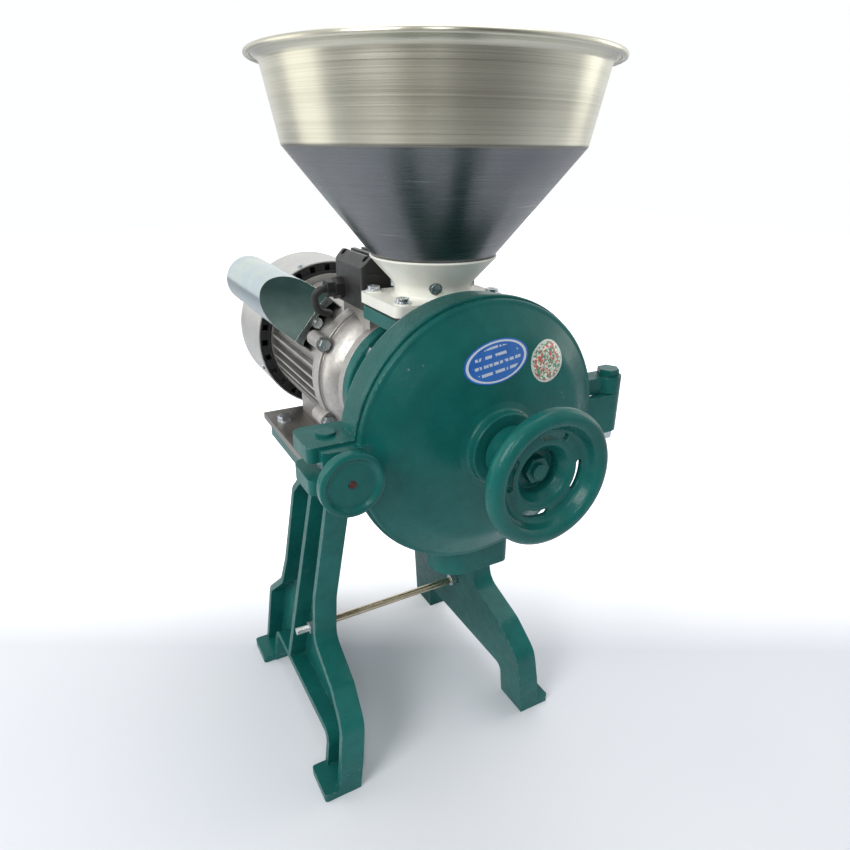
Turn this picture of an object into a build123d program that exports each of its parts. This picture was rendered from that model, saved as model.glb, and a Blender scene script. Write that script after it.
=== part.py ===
from build123d import *
from math import asin, cos, degrees, radians, sin, tan
import os

# Electric grain mill: a cast burr mill head bolted to the face of a small motor, standing on two
# cast leg frames. Millimetres, +Z up, the milling shaft along Y, the hand wheel facing -Y. The
# origin lies on the floor under the middle of the whole machine.

# ---- driving dimensions -------------------------------------------------------------------------
AXIS_Z = 392.0              # height of the milling shaft above the floor
SEAM_Y = -166.0             # joint face between mill housing and front cover

RUNNING_GAP = 0.3           # between pieces that move against each other
FIT = 0.02                  # radial clearance of a seated fit
THREAD_PLAY = 0.05          # radial clearance at a threaded or sliding stem

# hopper and neck
HOPPER_Y = -84.0            # hopper centre line, over the feed chamber
RIM_R = 139.0
RIM_Z = 666.0
BOWL_FOOT_R = 117.5
BOWL_FOOT_Z = 604.5
CONE_FOOT_R = 44.0
CONE_FOOT_Z = 514.5
SPIGOT_Z = 506.0            # top of the outlet tube under the cone
SPIGOT_END_Z = 493.0
BOWL_TOP_R = 129.0
BOWL_TOP_Z = 660.0
HOPPER_SHEET = 1.2
RIM_BEAD_R = 2.2
NECK_FLANGE_X = 104.0
NECK_FLANGE_Y = 72.0
NECK_FLANGE_T = 9.0
NECK_BORE_R = 25.0
NECK_WAIST_R = 32.0
NECK_WAIST_Z = 499.0
NECK_MOUTH_Z = 523.0
NECK_LIP = 3.0              # thickness of the neck at its mouth
NECK_BOLT_X = 42.0
NECK_BOLT_Y = 27.0
NECK_BOLT_R = 3.0
GASKET_T = 2.5
SEAT_Z = 478.5              # machined top of the housing under the neck gasket
SEAT_FLANGE_T = 11.0
HOPPER_SCREWS = 4
HOPPER_SCREW_Z = 500.0
HOPPER_SCREW_ANGLE = 245.0
HOPPER_SCREW_R = 2.0

# mill housing
DRUM_R = 109.0
DRUM_WALL = 8.0
DRUM_DEPTH = 37.0
FLANGE_LIP_R = 111.5
FLANGE_LIP_T = 6.0
CHAMBER_R = 29.0
CHAMBER_WALL = 9.0
CHAMBER_BACK_Y = -56.0
MOTOR_FACE_Y = -34.0        # where the housing meets the motor
MOTOR_FLANGE_R = 66.0
MOTOR_FLANGE_T = 12.0
MOTOR_FLANGE_BOLT_R = 56.0
HOUSING_BOLT_R = 4.0
SEAL_R = 17.0
SEAL_W = 7.0
CHUTE_X0 = -31.0
CHUTE_X1 = 39.0
CHUTE_DEPTH = 31.0
CHUTE_BOTTOM_Z = 256.0
CHUTE_WALL = 5.0
CHUTE_CORNER_R = 25.0
CHUTE_TOP_Z = 332.0         # inside the drum, where the chute starts

# front cover
COVER_R = 109.5
COVER_LIP_T = 6.0
COVER_WALL = 6.0
DOME_DEPTH = 27.0           # from the seam to the middle of the dome
BOSS_R = 30.0
BOSS_FACE_Y = -203.0
LABEL_T = 0.4
PLATE_CENTRE = (-3.0, 67.0)  # oval plate, from the shaft axis
PLATE_HALF_W = 29.0
PLATE_HALF_H = 16.0
PLATE_LEAN = 8.0
SEAL_CENTRE = (45.0, 60.0)   # round seal, from the shaft axis
INSPECTION_R = 16.5

# hinge at the right of the cover
HINGE_X = 137.0
HINGE_Y = -161.0
HINGE_LUG_R = 12.0
HINGE_PIN_R = 5.0
HINGE_BOTTOM_Z = 368.0
HINGE_SPLIT_Z = 404.0
HINGE_TOP_Z = 419.0

# swing bolt clamp at the left
CLAMP_X = -124.0
CLAMP_Z = 390.0
CLAMP_PIN_Y = -146.0
CLAMP_PIN_R = 5.0
CLAMP_BOLT_R = 5.0
CLAMP_REACH = 30.0          # from pin to the face that the washer presses on
EAR_HALF_Z = 19.0
EAR_SLOT = 14.0
EAR_TIP = 21.0              # ear beyond the pin, away from the drum
COVER_FORK_HALF_Z = 17.0
COVER_FORK_SLOT = 12.0
COVER_FORK_TIP = 13.0
KNOB_R = 24.5
KNOB_T = 12.0
KNOB_HUB_R = 10.0
KNOB_HUB_L = 8.0
CLAMP_WASHER_R = 11.0
CLAMP_WASHER_T = 2.5
CLAMP_BOLT_END = 8.0        # bolt beyond the washer, inside the knob
PIVOT_GAP = 0.5             # saddle of the swing bolt to its pin
PLUG_R = 3.0

# milling set
BURR_R = 74.0
BURR_BORE_R = 30.0
BURR_T = 8.0
BURR_GAP = 0.6
BURR_GROOVES = 24
GROOVE_W = 3.5
GROOVE_DEPTH = 2.0
GROOVE_SLANT = 14.0         # degrees from the radius
DISC_R = 75.0
DISC_T = 8.0
DISC_HUB_R = 16.0
DRIVE_R = 9.0               # end of the shaft that carries the sliding disc
BURR_SCREWS = 3
BURR_SCREW_PLACE_R = 52.0
BURR_SCREW_R = 3.0
DISC_TAIL_R = 14.0          # back of the hub, sliding on the shaft
DISC_NOSE = 6.0             # front of the hub, ahead of the disc
KEY_W = 5.0
KEY_H = 2.5

# adjusting spindle and hand wheel
SPINDLE_R = 8.0
SPINDLE_NOSE_R = 5.5
THRUST_CAP_R = 11.0
THRUST_CAP_T = 8.0
STUD_R = 6.0
WHEEL_R = 52.0
WHEEL_RIM_W = 11.5          # radial width of the rim's front
WHEEL_DISH = 10.5           # web behind the front of the rim
WHEEL_WEB_T = 4.0
WHEEL_BACK_Y = -205.0
WHEEL_FRONT_Y = -260.0
WHEEL_HUB_R = 22.0
WHEEL_RECESS_R = 17.0
WHEEL_SLOTS = 4
WHEEL_SLOT_R = 30.5
WHEEL_SLOT_ANGLE = -12.0
WHEEL_SLOT_W = 5.5
WHEEL_SLOT_ARC = 36.0

# feed screw and shaft
SCREW_R = 27.5
SCREW_CORE_R = 13.0
SCREW_PITCH = 32.0
SCREW_FLIGHT_T = 4.0
SHAFT_R = 10.0
MOTOR_SHAFT_R = 14.0

# motor
BELL_BACK_Y = 15.0          # joint ring between front bell and finned shell
SHELL_BACK_Y = 160.0
SHELL_R = 68.0
SHELL_WALL = 6.0
FIN_H = 7.0
FIN_T = 2.6
FIN_PITCH = 9.0             # degrees
BELL_WALL = 6.0
TIE_BOLT_OUT = 4.0          # tie bolts beyond the edge of the bells
TIE_BOLT_ANGLES = (30.0, 150.0, 210.0, 330.0)
TIE_BOLT_SHANK_R = 3.0
LUG_R = 7.5
CORE_Y0 = 40.0
CORE_Y1 = 130.0
STATOR_DEPTH = 24.0         # from the bore of the shell to the air gap
BEARING_R = 26.0
BEARING_W = 15.0
FAN_SEAT_R = 9.0
FAN_Y0 = 196.0
FAN_Y1 = 230.0
FAN_ROOM = 13.0             # from the fan to the cowl
FAN_BLADES = 8
COWL_T = 1.5
COWL_FRONT_Y = 166.0
COWL_BACK_Y = 260.0
COWL_EDGE_R = 14.0
COWL_VENT_R = 56.0
COWL_SCREW_ANGLES = (20.0, 110.0, 200.0, 290.0)
RING_W = 13.5               # from the rear bell to the outside of the cowl
RING_OPENINGS = 28
RING_OPENING = 6.6
FOOT_HALF_X = 50.0
FOOT_Y0 = 32.0
FOOT_Y1 = 140.0
FOOT_SCREW_X = 36.0
FOOT_SCREW_R = 4.0
WIRE_HOLE_R = 9.0

# terminal box
BOX_HALF_X = 42.0
BOX_Y0 = -32.0
BOX_Y1 = 34.0
BOX_RISE = 8.0              # floor of the box above the motor shell
BOX_H = 32.0
BOX_WALL = 3.0
BOX_LID_T = 14.0
BOX_POST = 8.0              # height of the corner posts that take the lid screws
GLAND_R = 9.0
GLAND_L = 16.0
GLAND_Y = 19.0
GLAND_RISE = 12.0           # above the floor of the box
GLAND_THREAD_R = 6.0
LID_SCREW_R = 1.8
LID_BEVEL = 9.0
LID_RIBS = 6
LID_GROOVE = 2.0

# run capacitor at the upper left of the motor
CAP_ANGLE = 140.0
CAP_R = 20.0
CAP_Y0 = 90.0
CAP_Y1 = 158.0
CAP_COVER_RISE = 26.0       # axis of its rounded cover, above the motor shell
CAP_COVER_R = 28.0
CAP_COVER_T = 1.2
CAP_COVER_Y0 = 50.0
CAP_COVER_Y1 = 246.0
CAP_SLOPE_Y = 108.0         # where the sloping front of its cover reaches full height
CAP_STRIP_RISE = 10.0       # upright strip along the front edge of the cover, above the shell
CAP_STRIP_H = 5.0
CAP_SCREW_R = 2.0
CAP_EAR_RISE = 6.0          # screw of the cover, above the shell
EAR_R = 5.5
CAP_BOSS_L = 10.0           # boss on the shell that takes this screw
LEAD_R = 3.6

# base plate and leg frames
PLATE_T = 7.0
PLATE_HALF_X = 94.0
PLATE_Y0 = 2.0
PLATE_Y1 = 154.0
MOTOR_FOOT_H = 12.0         # base plate below the motor shell
FRAME_FOOT_X = 101.0        # inner face of a frame at the floor
FRAME_W = 24.0
FRAME_TILT = 6.2            # degrees, feet outward
FRAME_WEB = 6.0
FRAME_FLANGE = 7.0
FRAME_RIB = 8.0
TOP_FLANGE_T = 12.0
TOP_FLANGE_W = 34.0
TOP_FLANGE_Y0 = -60.0
TOP_FLANGE_Y1 = 132.0
PAD_W = 38.0
PAD_T = 9.0
TOE_Y = -127.0
HEEL_Y = 130.0
FOOT_L = 40.0
PLATE_BOLT_X = 80.0
PLATE_BOLT_YS = (20.0, 118.0)
PLATE_BOLT_R = 4.0
TIE_ROD_R = 4.0
TIE_ROD_Y = 8.0
TIE_ROD_Z = 104.0
TIE_ROD_STUD = 14.0         # rod beyond each outer nut
TIE_ROD_NUT_AF = 13.0
TIE_ROD_NUT_T = 6.5

# ---- values worked out from them ----------------------------------------------------------------
DRUM_BACK_Y = SEAM_Y + DRUM_DEPTH
DRUM_FLOOR_Y = DRUM_BACK_Y - DRUM_WALL
PLATE_TOP_Z = AXIS_Z - SHELL_R - MOTOR_FOOT_H
FRAME_TOP_Z = PLATE_TOP_Z - PLATE_T
FIXED_BURR_Y = DRUM_FLOOR_Y - BURR_T
ROTOR_BURR_Y = FIXED_BURR_Y - BURR_GAP - BURR_T
DISC_Y = ROTOR_BURR_Y - DISC_T
FLANGE_Z = SEAT_Z + GASKET_T
FLANGE_TOP_Z = FLANGE_Z + NECK_FLANGE_T
CHAMBER_OUT_R = CHAMBER_R + CHAMBER_WALL
CLAMP_FACE_Y = CLAMP_PIN_Y - CLAMP_REACH
KNOB_BACK_Y = CLAMP_FACE_Y - CLAMP_WASHER_T - THREAD_PLAY
KNOB_FACE_Y = KNOB_BACK_Y - KNOB_HUB_L - KNOB_T + 3
THRUST_FACE_Y = DISC_Y - DISC_NOSE - RUNNING_GAP
WHEEL_HUB_FACE_Y = WHEEL_FRONT_Y + 26
BELL_R = SHELL_R + FIN_H
TIE_BOLT_R = BELL_R + TIE_BOLT_OUT
AIR_GAP_R = SHELL_R - SHELL_WALL - STATOR_DEPTH
COWL_R = BELL_R + RING_W
FAN_R = COWL_R - COWL_T - FAN_ROOM
BOX_FLOOR = SHELL_R + BOX_RISE
BOX_RIM = BOX_FLOOR + BOX_H
GLAND_Z = BOX_FLOOR + GLAND_RISE
CAP_CENTRE_R = SHELL_R + CAP_R + FIT
CAP_COVER_CENTRE_R = SHELL_R + CAP_COVER_RISE
CAP_STRIP_R0 = SHELL_R + CAP_STRIP_RISE
CAP_STRIP_R1 = CAP_STRIP_R0 + CAP_STRIP_H
CAP_EAR_R = SHELL_R + CAP_EAR_RISE
CAP_CLEAR_ARC = degrees(asin((CAP_COVER_R + 2) / SHELL_R))


# ---- helpers ------------------------------------------------------------------------------------
def block(x0, x1, y0, y1, z0, z1):
    """A box between two corners."""
    return Pos((x0 + x1) / 2, (y0 + y1) / 2, (z0 + z1) / 2) * Box(x1 - x0, y1 - y0, z1 - z0)


def rod_x(radius, x0, x1, y, z):
    return Pos((x0 + x1) / 2, y, z) * Rot(0, 90, 0) * Cylinder(radius, x1 - x0)


def rod_y(radius, y0, y1, x=0.0, z=AXIS_Z):
    return Pos(x, (y0 + y1) / 2, z) * Rot(90, 0, 0) * Cylinder(radius, y1 - y0)


def rod_z(radius, z0, z1, x, y):
    return Pos(x, y, (z0 + z1) / 2) * Cylinder(radius, z1 - z0)


def hex_x(across_flats, x0, x1, y, z):
    face = RegularPolygon(across_flats / 2, 6, major_radius=False)
    return Pos(x0, y, z) * Rot(0, 90, 0) * extrude(face, x1 - x0)


def hex_y(across_flats, y0, y1, x=0.0, z=AXIS_Z):
    face = RegularPolygon(across_flats / 2, 6, major_radius=False)
    return Pos(x, y1, z) * Rot(90, 0, 0) * extrude(face, y1 - y0)


def hex_z(across_flats, z0, z1, x, y):
    face = RegularPolygon(across_flats / 2, 6, major_radius=False)
    return Pos(x, y, z0) * extrude(face, z1 - z0)


def rounded_face(corners):
    """A closed outline in the XY plane from corners (a, b, radius of the corner)."""
    edges = []
    joints = []
    count = len(corners)
    for index, (a, b, radius) in enumerate(corners):
        here = Vector(a, b)
        before = Vector(*corners[index - 1][:2]) - here
        after = Vector(*corners[(index + 1) % count][:2]) - here
        if radius == 0:
            joints.append((here, here))
            continue
        u = before.normalized()
        v = after.normalized()
        half = radians(u.get_angle(v)) / 2
        reach = radius / tan(half)
        middle = (u + v).normalized()
        start = here + u * reach
        end = here + v * reach
        top = here + middle * (radius / sin(half) - radius)
        edges.append(ThreePointArc(start, top, end))
        joints.append((start, end))
    for index in range(count):
        leave = joints[index][1]
        arrive = joints[(index + 1) % count][0]
        if (leave - arrive).length > 1e-4:
            edges.append(Line(leave, arrive))
    return make_face(Wire(edges))


def sheet_outline(line, thickness):
    """Corners of a bent sheet: a line of (a, b, radius) and its copy offset to the left."""
    inner = []
    last = len(line) - 1
    for index, (a, b, radius) in enumerate(line):
        start = Vector(*line[max(index - 1, 0)][:2])
        end = Vector(*line[min(index + 1, last)][:2])
        here = Vector(a, b)
        into = (here - start).normalized() if index > 0 else (end - here).normalized()
        out = (end - here).normalized() if index < last else into
        left = Vector(-into.Y - out.Y, into.X + out.X).normalized()
        reach = thickness / abs(left.dot(Vector(-into.Y, into.X)))
        bend = into.X * out.Y - into.Y * out.X
        inner_radius = 0.0
        if radius > 0:
            inner_radius = max(radius - thickness, 0.2) if bend > 0 else radius + thickness
        inner.append((a + left.X * reach, b + left.Y * reach, inner_radius))
    return line + inner[::-1]


def turned_y(corners, x=0.0, z=AXIS_Z):
    """A solid of revolution about a line along Y from corners (radius, y, corner radius)."""
    return Pos(x, 0, z) * revolve(rounded_face(corners), Axis.Y)


def turned_z(corners, x, y):
    """A solid of revolution about a vertical line from corners (radius, z, corner radius)."""
    return Pos(x, y, 0) * revolve(Plane.XZ * rounded_face(corners), Axis.Z)


def around_y(angle, radius):
    """Offset (x, z) of a point at this angle, seen from the front, about the shaft axis."""
    return radius * cos(radians(angle)), AXIS_Z + radius * sin(radians(angle))


def group(pieces):
    """Several separate solids in one node."""
    return Compound(children=[piece.solids()[0] for piece in pieces])


# ---- leg frames and base ------------------------------------------------------------------------
def frame_inner_x(z):
    """Inner face of the tilted right frame at a height."""
    return FRAME_FOOT_X - z * tan(radians(FRAME_TILT))


def leg_frame():
    """Right frame: a cast web with a flange all round, one rib, two foot pads and a top flange."""
    top = FRAME_TOP_Z + 20
    below = -12.0
    arch_z = 40.0
    outline = rounded_face([
        (TOP_FLANGE_Y0 + 4, top, 0),
        (-34, 170, 40),
        (-40, 126, 18),
        (-92, 106, 22),
        (TOE_Y + 4, 80, 26),
        (TOE_Y, 40, 10),
        (TOE_Y, below, 0),
        (TOE_Y + FOOT_L, below, 0),
        (TOE_Y + FOOT_L, arch_z, 9),
        (HEEL_Y - FOOT_L - 6, arch_z, 9),
        (HEEL_Y - FOOT_L, below, 0),
        (HEEL_Y, below, 0),
        (HEEL_Y - 9, 88, 16),
        (78, 128, 14),
        (66, 162, 24),
        (50, 262, 12),
        (25, 288, 6),
        (25, top, 0),
    ])
    pocket = offset(outline, -FRAME_FLANGE)
    body = extrude(Plane.YZ * outline, FRAME_W)
    body -= Pos(FRAME_WEB, 0, 0) * extrude(Plane.YZ * pocket, FRAME_W)
    rib = rounded_face([
        (-14 - FRAME_RIB / 2, top, 0),
        (40 - FRAME_RIB / 2, arch_z, 0),
        (40 + FRAME_RIB / 2, arch_z, 0),
        (-14 + FRAME_RIB / 2, top, 0),
    ])
    body += extrude(Plane.YZ * rib, FRAME_W)
    frame = Pos(FRAME_FOOT_X, 0, 0) * Rot(0, -FRAME_TILT, 0) * body
    frame &= block(0, 250, -300, 300, 0, FRAME_TOP_Z)
    for y0 in (TOE_Y, HEEL_Y - FOOT_L):
        pad = block(FRAME_FOOT_X, FRAME_FOOT_X + PAD_W, y0, y0 + FOOT_L, 0, PAD_T)
        frame += fillet(pad.edges().filter_by(Axis.Z), 3)
    outer_x = PLATE_HALF_X - 1
    flange = block(outer_x - TOP_FLANGE_W, outer_x, TOP_FLANGE_Y0, TOP_FLANGE_Y1,
                   FRAME_TOP_Z - TOP_FLANGE_T, FRAME_TOP_Z)
    frame += fillet(flange.edges().filter_by(Axis.Z), 4)
    frame -= rod_x(TIE_ROD_R + RUNNING_GAP, 0, 200, TIE_ROD_Y, TIE_ROD_Z)
    under = FRAME_TOP_Z - TOP_FLANGE_T
    for y in PLATE_BOLT_YS:
        frame -= rod_z(PLATE_BOLT_R + RUNNING_GAP, under - 1, FRAME_TOP_Z + 1, PLATE_BOLT_X, y)
        frame -= rod_z(2 * PLATE_BOLT_R + RUNNING_GAP, under - 10, under, PLATE_BOLT_X, y)
    return frame


def tie_rod_places():
    """Outer faces that the tie rod nuts press on, at the height of the rod."""
    slope = tan(radians(FRAME_TILT)) * 0.6 * TIE_ROD_NUT_AF
    web = FRAME_WEB / cos(radians(FRAME_TILT))
    return frame_inner_x(TIE_ROD_Z) - slope, frame_inner_x(TIE_ROD_Z) + web + slope


def tie_rod():
    end = tie_rod_places()[1] + TIE_ROD_NUT_T + TIE_ROD_STUD
    return rod_x(TIE_ROD_R, -end, end, TIE_ROD_Y, TIE_ROD_Z)


def tie_rod_nuts():
    inner, outer = tie_rod_places()
    nuts = []
    for start in (-outer - TIE_ROD_NUT_T, -inner, inner - TIE_ROD_NUT_T, outer):
        nut = hex_x(TIE_ROD_NUT_AF, start, start + TIE_ROD_NUT_T, TIE_ROD_Y, TIE_ROD_Z)
        nuts.append(nut - rod_x(TIE_ROD_R + FIT, -200, 200, TIE_ROD_Y, TIE_ROD_Z))
    return group(nuts)


def plate_bolt_places():
    return [(side * PLATE_BOLT_X, y) for side in (-1, 1) for y in PLATE_BOLT_YS]


def foot_screw_places():
    return [(side * FOOT_SCREW_X, y) for side in (-1, 1) for y in (FOOT_Y0 + 14, FOOT_Y1 - 14)]


def motor_base_plate():
    plate = block(-PLATE_HALF_X, PLATE_HALF_X, PLATE_Y0, PLATE_Y1, FRAME_TOP_Z, PLATE_TOP_Z)
    for x, y in plate_bolt_places():
        plate -= rod_z(PLATE_BOLT_R + RUNNING_GAP, FRAME_TOP_Z - 1, PLATE_TOP_Z + 1, x, y)
    for x, y in foot_screw_places():
        plate -= rod_z(FOOT_SCREW_R + RUNNING_GAP, FRAME_TOP_Z - 1, PLATE_TOP_Z + 1, x, y)
    return chamfer(plate.edges().filter_by(Axis.Z), 1.0)


def base_plate_bolts():
    bolts = []
    for x, y in plate_bolt_places():
        low = FRAME_TOP_Z - TOP_FLANGE_T
        bolt = rod_z(PLATE_BOLT_R, low - 8, PLATE_TOP_Z + 4, x, y)
        bolt += rod_z(PLATE_BOLT_R + 4, PLATE_TOP_Z, PLATE_TOP_Z + 1.6, x, y)
        bolt += hex_z(13, PLATE_TOP_Z + 1.6, PLATE_TOP_Z + 7, x, y)
        bolts.append(bolt)
    return group(bolts)


def base_plate_nuts():
    nuts = []
    low = FRAME_TOP_Z - TOP_FLANGE_T
    for x, y in plate_bolt_places():
        nut = hex_z(13, low - 6.5, low, x, y)
        nuts.append(nut - rod_z(PLATE_BOLT_R + FIT, low - 7, low + 1, x, y))
    return group(nuts)


# ---- motor --------------------------------------------------------------------------------------
def lug_ring(y0, y1, hole):
    """Four bolt lugs round the joint between front bell and shell."""
    lugs = Part()
    for angle in TIE_BOLT_ANGLES:
        x, z = around_y(angle, TIE_BOLT_R)
        inner_x, inner_z = around_y(angle, TIE_BOLT_R - LUG_R)
        web = Pos((x + inner_x) / 2, (y0 + y1) / 2, (z + inner_z) / 2) * Rot(0, -angle, 0)
        lugs += rod_y(LUG_R, y0, y1, x, z) + web * Box(LUG_R, y1 - y0, 2 * LUG_R)
    for angle in TIE_BOLT_ANGLES:
        x, z = around_y(angle, TIE_BOLT_R)
        lugs -= rod_y(hole, y0 - 1, y1 + 1, x, z)
    return lugs


def motor_shell():
    """Finned stator housing with its foot block and the seat of the terminal box."""
    shell = rod_y(SHELL_R, BELL_BACK_Y, SHELL_BACK_Y)
    shell += rod_y(BELL_R, BELL_BACK_Y, BELL_BACK_Y + 8)
    count = int(360 / FIN_PITCH)
    for index in range(count):
        angle = index * FIN_PITCH
        over_cap = abs(angle - CAP_ANGLE) < CAP_CLEAR_ARC
        under_box = abs(angle - 90) < 26
        at_foot = abs(angle - 270) < 36
        if over_cap or under_box or at_foot:
            continue
        fin = Box(FIN_H + 4, SHELL_BACK_Y - BELL_BACK_Y - 4, FIN_T)
        x, z = around_y(angle, SHELL_R + FIN_H / 2 - 2)
        shell += Pos(x, (BELL_BACK_Y + SHELL_BACK_Y) / 2 - 2, z) * Rot(0, -angle, 0) * fin
    shell += block(-FOOT_HALF_X, FOOT_HALF_X, FOOT_Y0, FOOT_Y1, PLATE_TOP_Z, AXIS_Z - SHELL_R + 22)
    seat_x = BOX_HALF_X - 8
    shell += block(-seat_x, seat_x, BELL_BACK_Y, BOX_Y1, AXIS_Z + SHELL_R - 16, AXIS_Z + BOX_FLOOR)
    shell += lug_ring(BELL_BACK_Y, BELL_BACK_Y + 14, TIE_BOLT_SHANK_R + FIT)
    boss_x, boss_z = around_y(CAP_ANGLE, CAP_EAR_R)
    inner_x, inner_z = around_y(CAP_ANGLE, SHELL_R - 2)
    boss_y0 = CAP_COVER_Y0 + 2
    boss = rod_y(EAR_R - 1, boss_y0, boss_y0 + CAP_BOSS_L, boss_x, boss_z)
    web = Pos((boss_x + inner_x) / 2, boss_y0 + CAP_BOSS_L / 2, (boss_z + inner_z) / 2)
    shell += boss + web * Rot(0, -CAP_ANGLE, 0) * Box(CAP_EAR_R - SHELL_R + 2, CAP_BOSS_L, 2 * EAR_R - 2)
    shell -= rod_y(CAP_SCREW_R + FIT, boss_y0 - 1, boss_y0 + CAP_BOSS_L - 1.5, boss_x, boss_z)
    shell -= rod_y(SHELL_R - SHELL_WALL, BELL_BACK_Y - 1, SHELL_BACK_Y + 1)
    shell -= block(-FOOT_HALF_X + 24, FOOT_HALF_X - 24, FOOT_Y0 + 8, FOOT_Y1 - 8,
                   PLATE_TOP_Z - 1, PLATE_TOP_Z + 6)
    for x, y in foot_screw_places():
        shell -= rod_z(FOOT_SCREW_R + FIT, PLATE_TOP_Z - 1, PLATE_TOP_Z + 14.5, x, y)
    shell -= rod_z(WIRE_HOLE_R, AXIS_Z + 40, AXIS_Z + BOX_FLOOR + 1, 0, BELL_BACK_Y + 10)
    return shell


def motor_foot_screws():
    screws = []
    for x, y in foot_screw_places():
        screw = rod_z(FOOT_SCREW_R, FRAME_TOP_Z - 2, PLATE_TOP_Z + 14, x, y)
        screws.append(screw + hex_z(13, FRAME_TOP_Z - 5.3, FRAME_TOP_Z, x, y))
    return group(screws)


def front_end_bell():
    back = BELL_BACK_Y
    face = MOTOR_FACE_Y
    bell = turned_y([
        (0, face, 0),
        (MOTOR_FLANGE_R, face, 1),
        (MOTOR_FLANGE_R, face + MOTOR_FLANGE_T, 2),
        (54, face + MOTOR_FLANGE_T, 3),
        (BELL_R - 3, back - 20, 22),
        (BELL_R - 3, back - 8, 1),
        (BELL_R, back - 8, 1),
        (BELL_R, back, 0),
        (0, back, 0),
    ])
    seat_x = BOX_HALF_X - 8
    bell += block(-seat_x, seat_x, BOX_Y0 + 4, back, AXIS_Z + 40, AXIS_Z + BOX_FLOOR)
    bell += lug_ring(back - 12, back, TIE_BOLT_SHANK_R + FIT)
    bell -= turned_y([
        (0, face + 18, 0),
        (48, face + 18, 4),
        (BELL_R - 3 - BELL_WALL, back - 20, 12),
        (BELL_R - 3 - BELL_WALL, back + 1, 0),
        (0, back + 1, 0),
    ])
    bell += rod_y(BEARING_R + 6, face + 10, face + 24)
    bell -= rod_y(BEARING_R + FIT, face + 6, face + 25)
    bell -= rod_y(MOTOR_SHAFT_R + 1.5, face - 1, face + 7)
    for angle in (45, 135, 225, 315):
        x, z = around_y(angle, MOTOR_FLANGE_BOLT_R)
        bell -= rod_y(HOUSING_BOLT_R + FIT, face - 1, face + 10.5, x, z)
    return bell


def motor_tie_bolts():
    bolts = []
    for angle in TIE_BOLT_ANGLES:
        x, z = around_y(angle, TIE_BOLT_R)
        bolt = rod_y(TIE_BOLT_SHANK_R, BELL_BACK_Y - 14, BELL_BACK_Y + 13, x, z)
        bolts.append(bolt + hex_y(10, BELL_BACK_Y - 17, BELL_BACK_Y - 12, x, z))
    return group(bolts)


def rear_end_bell():
    front = SHELL_BACK_Y
    bell = turned_y([
        (0, front, 0),
        (BELL_R, front, 0),
        (BELL_R, front + 13, 2),
        (BEARING_R + 8, front + 17, 3),
        (BEARING_R + 6, front + 26, 1),
        (0, front + 26, 0),
    ])
    bell -= turned_y([
        (0, front - 1, 0),
        (SHELL_R - SHELL_WALL, front - 1, 0),
        (SHELL_R - SHELL_WALL, front + 8, 3),
        (BEARING_R + 6, front + 10, 0),
        (0, front + 10, 0),
    ])
    bell += rod_y(BEARING_R + 6, front + 8, front + 12)
    bell -= rod_y(BEARING_R + FIT, front + 7, front + 23)
    bell -= rod_y(FAN_SEAT_R + 2, front + 20, front + 27)
    return bell


def bearing(y0):
    """Sealed ball bearing with a shallow groove in each face between its rings."""
    ring = rod_y(BEARING_R, y0, y0 + BEARING_W) - rod_y(MOTOR_SHAFT_R + FIT, y0 - 1, y0 + BEARING_W + 1)
    groove = rod_y(BEARING_R - 4, y0 - 1, y0 + 0.8) - rod_y(MOTOR_SHAFT_R + 4, y0 - 2, y0 + 2)
    back = rod_y(BEARING_R - 4, y0 + BEARING_W - 0.8, y0 + BEARING_W + 1)
    back -= rod_y(MOTOR_SHAFT_R + 4, y0 + BEARING_W - 2, y0 + BEARING_W + 2)
    return ring - groove - back


def stator_core():
    core = rod_y(SHELL_R - SHELL_WALL - FIT, CORE_Y0, CORE_Y1)
    return core - rod_y(AIR_GAP_R, CORE_Y0 - 1, CORE_Y1 + 1)


def stator_windings():
    rings = []
    for y0, y1 in ((CORE_Y0 - 14, CORE_Y0), (CORE_Y1, CORE_Y1 + 14)):
        rings.append(turned_y([
            (AIR_GAP_R + 5, y0, 4),
            (SHELL_R - SHELL_WALL - 5, y0, 4),
            (SHELL_R - SHELL_WALL - 5, y1, 4),
            (AIR_GAP_R + 5, y1, 4),
        ]))
    return group(rings)


def rotor_core():
    core = rod_y(AIR_GAP_R - 0.4, CORE_Y0, CORE_Y1)
    return core - rod_y(MOTOR_SHAFT_R + FIT, CORE_Y0 - 1, CORE_Y1 + 1)


def motor_shaft():
    """One shaft from the fan to the milling disc, with the key that drives the disc."""
    shaft = rod_y(DRIVE_R, DISC_Y + 4, DRUM_FLOOR_Y)
    shaft += rod_y(SHAFT_R, DRUM_FLOOR_Y, MOTOR_FACE_Y)
    shaft += rod_y(MOTOR_SHAFT_R, MOTOR_FACE_Y, SHELL_BACK_Y + 23)
    shaft += rod_y(FAN_SEAT_R, SHELL_BACK_Y + 23, FAN_Y1 + 2)
    shaft += block(-KEY_W / 2, KEY_W / 2, DISC_Y + 6, DRUM_FLOOR_Y - 2,
                   AXIS_Z + DRIVE_R - 2, AXIS_Z + DRIVE_R + KEY_H)
    return shaft


def cooling_fan():
    fan = rod_y(2 * FAN_SEAT_R, FAN_Y0, FAN_Y1) + rod_y(FAN_R, FAN_Y1 - 3, FAN_Y1)
    for index in range(FAN_BLADES):
        angle = index * 360 / FAN_BLADES
        x, z = around_y(angle, (FAN_R + FAN_SEAT_R) / 2)
        blade = Box(FAN_R - FAN_SEAT_R - 6, FAN_Y1 - FAN_Y0 - 1, 2.4)
        fan += Pos(x, (FAN_Y0 + FAN_Y1) / 2, z) * Rot(0, -angle, 0) * blade
    return fan - rod_y(FAN_SEAT_R + FIT, FAN_Y0 - 1, FAN_Y1 + 1)


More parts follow.
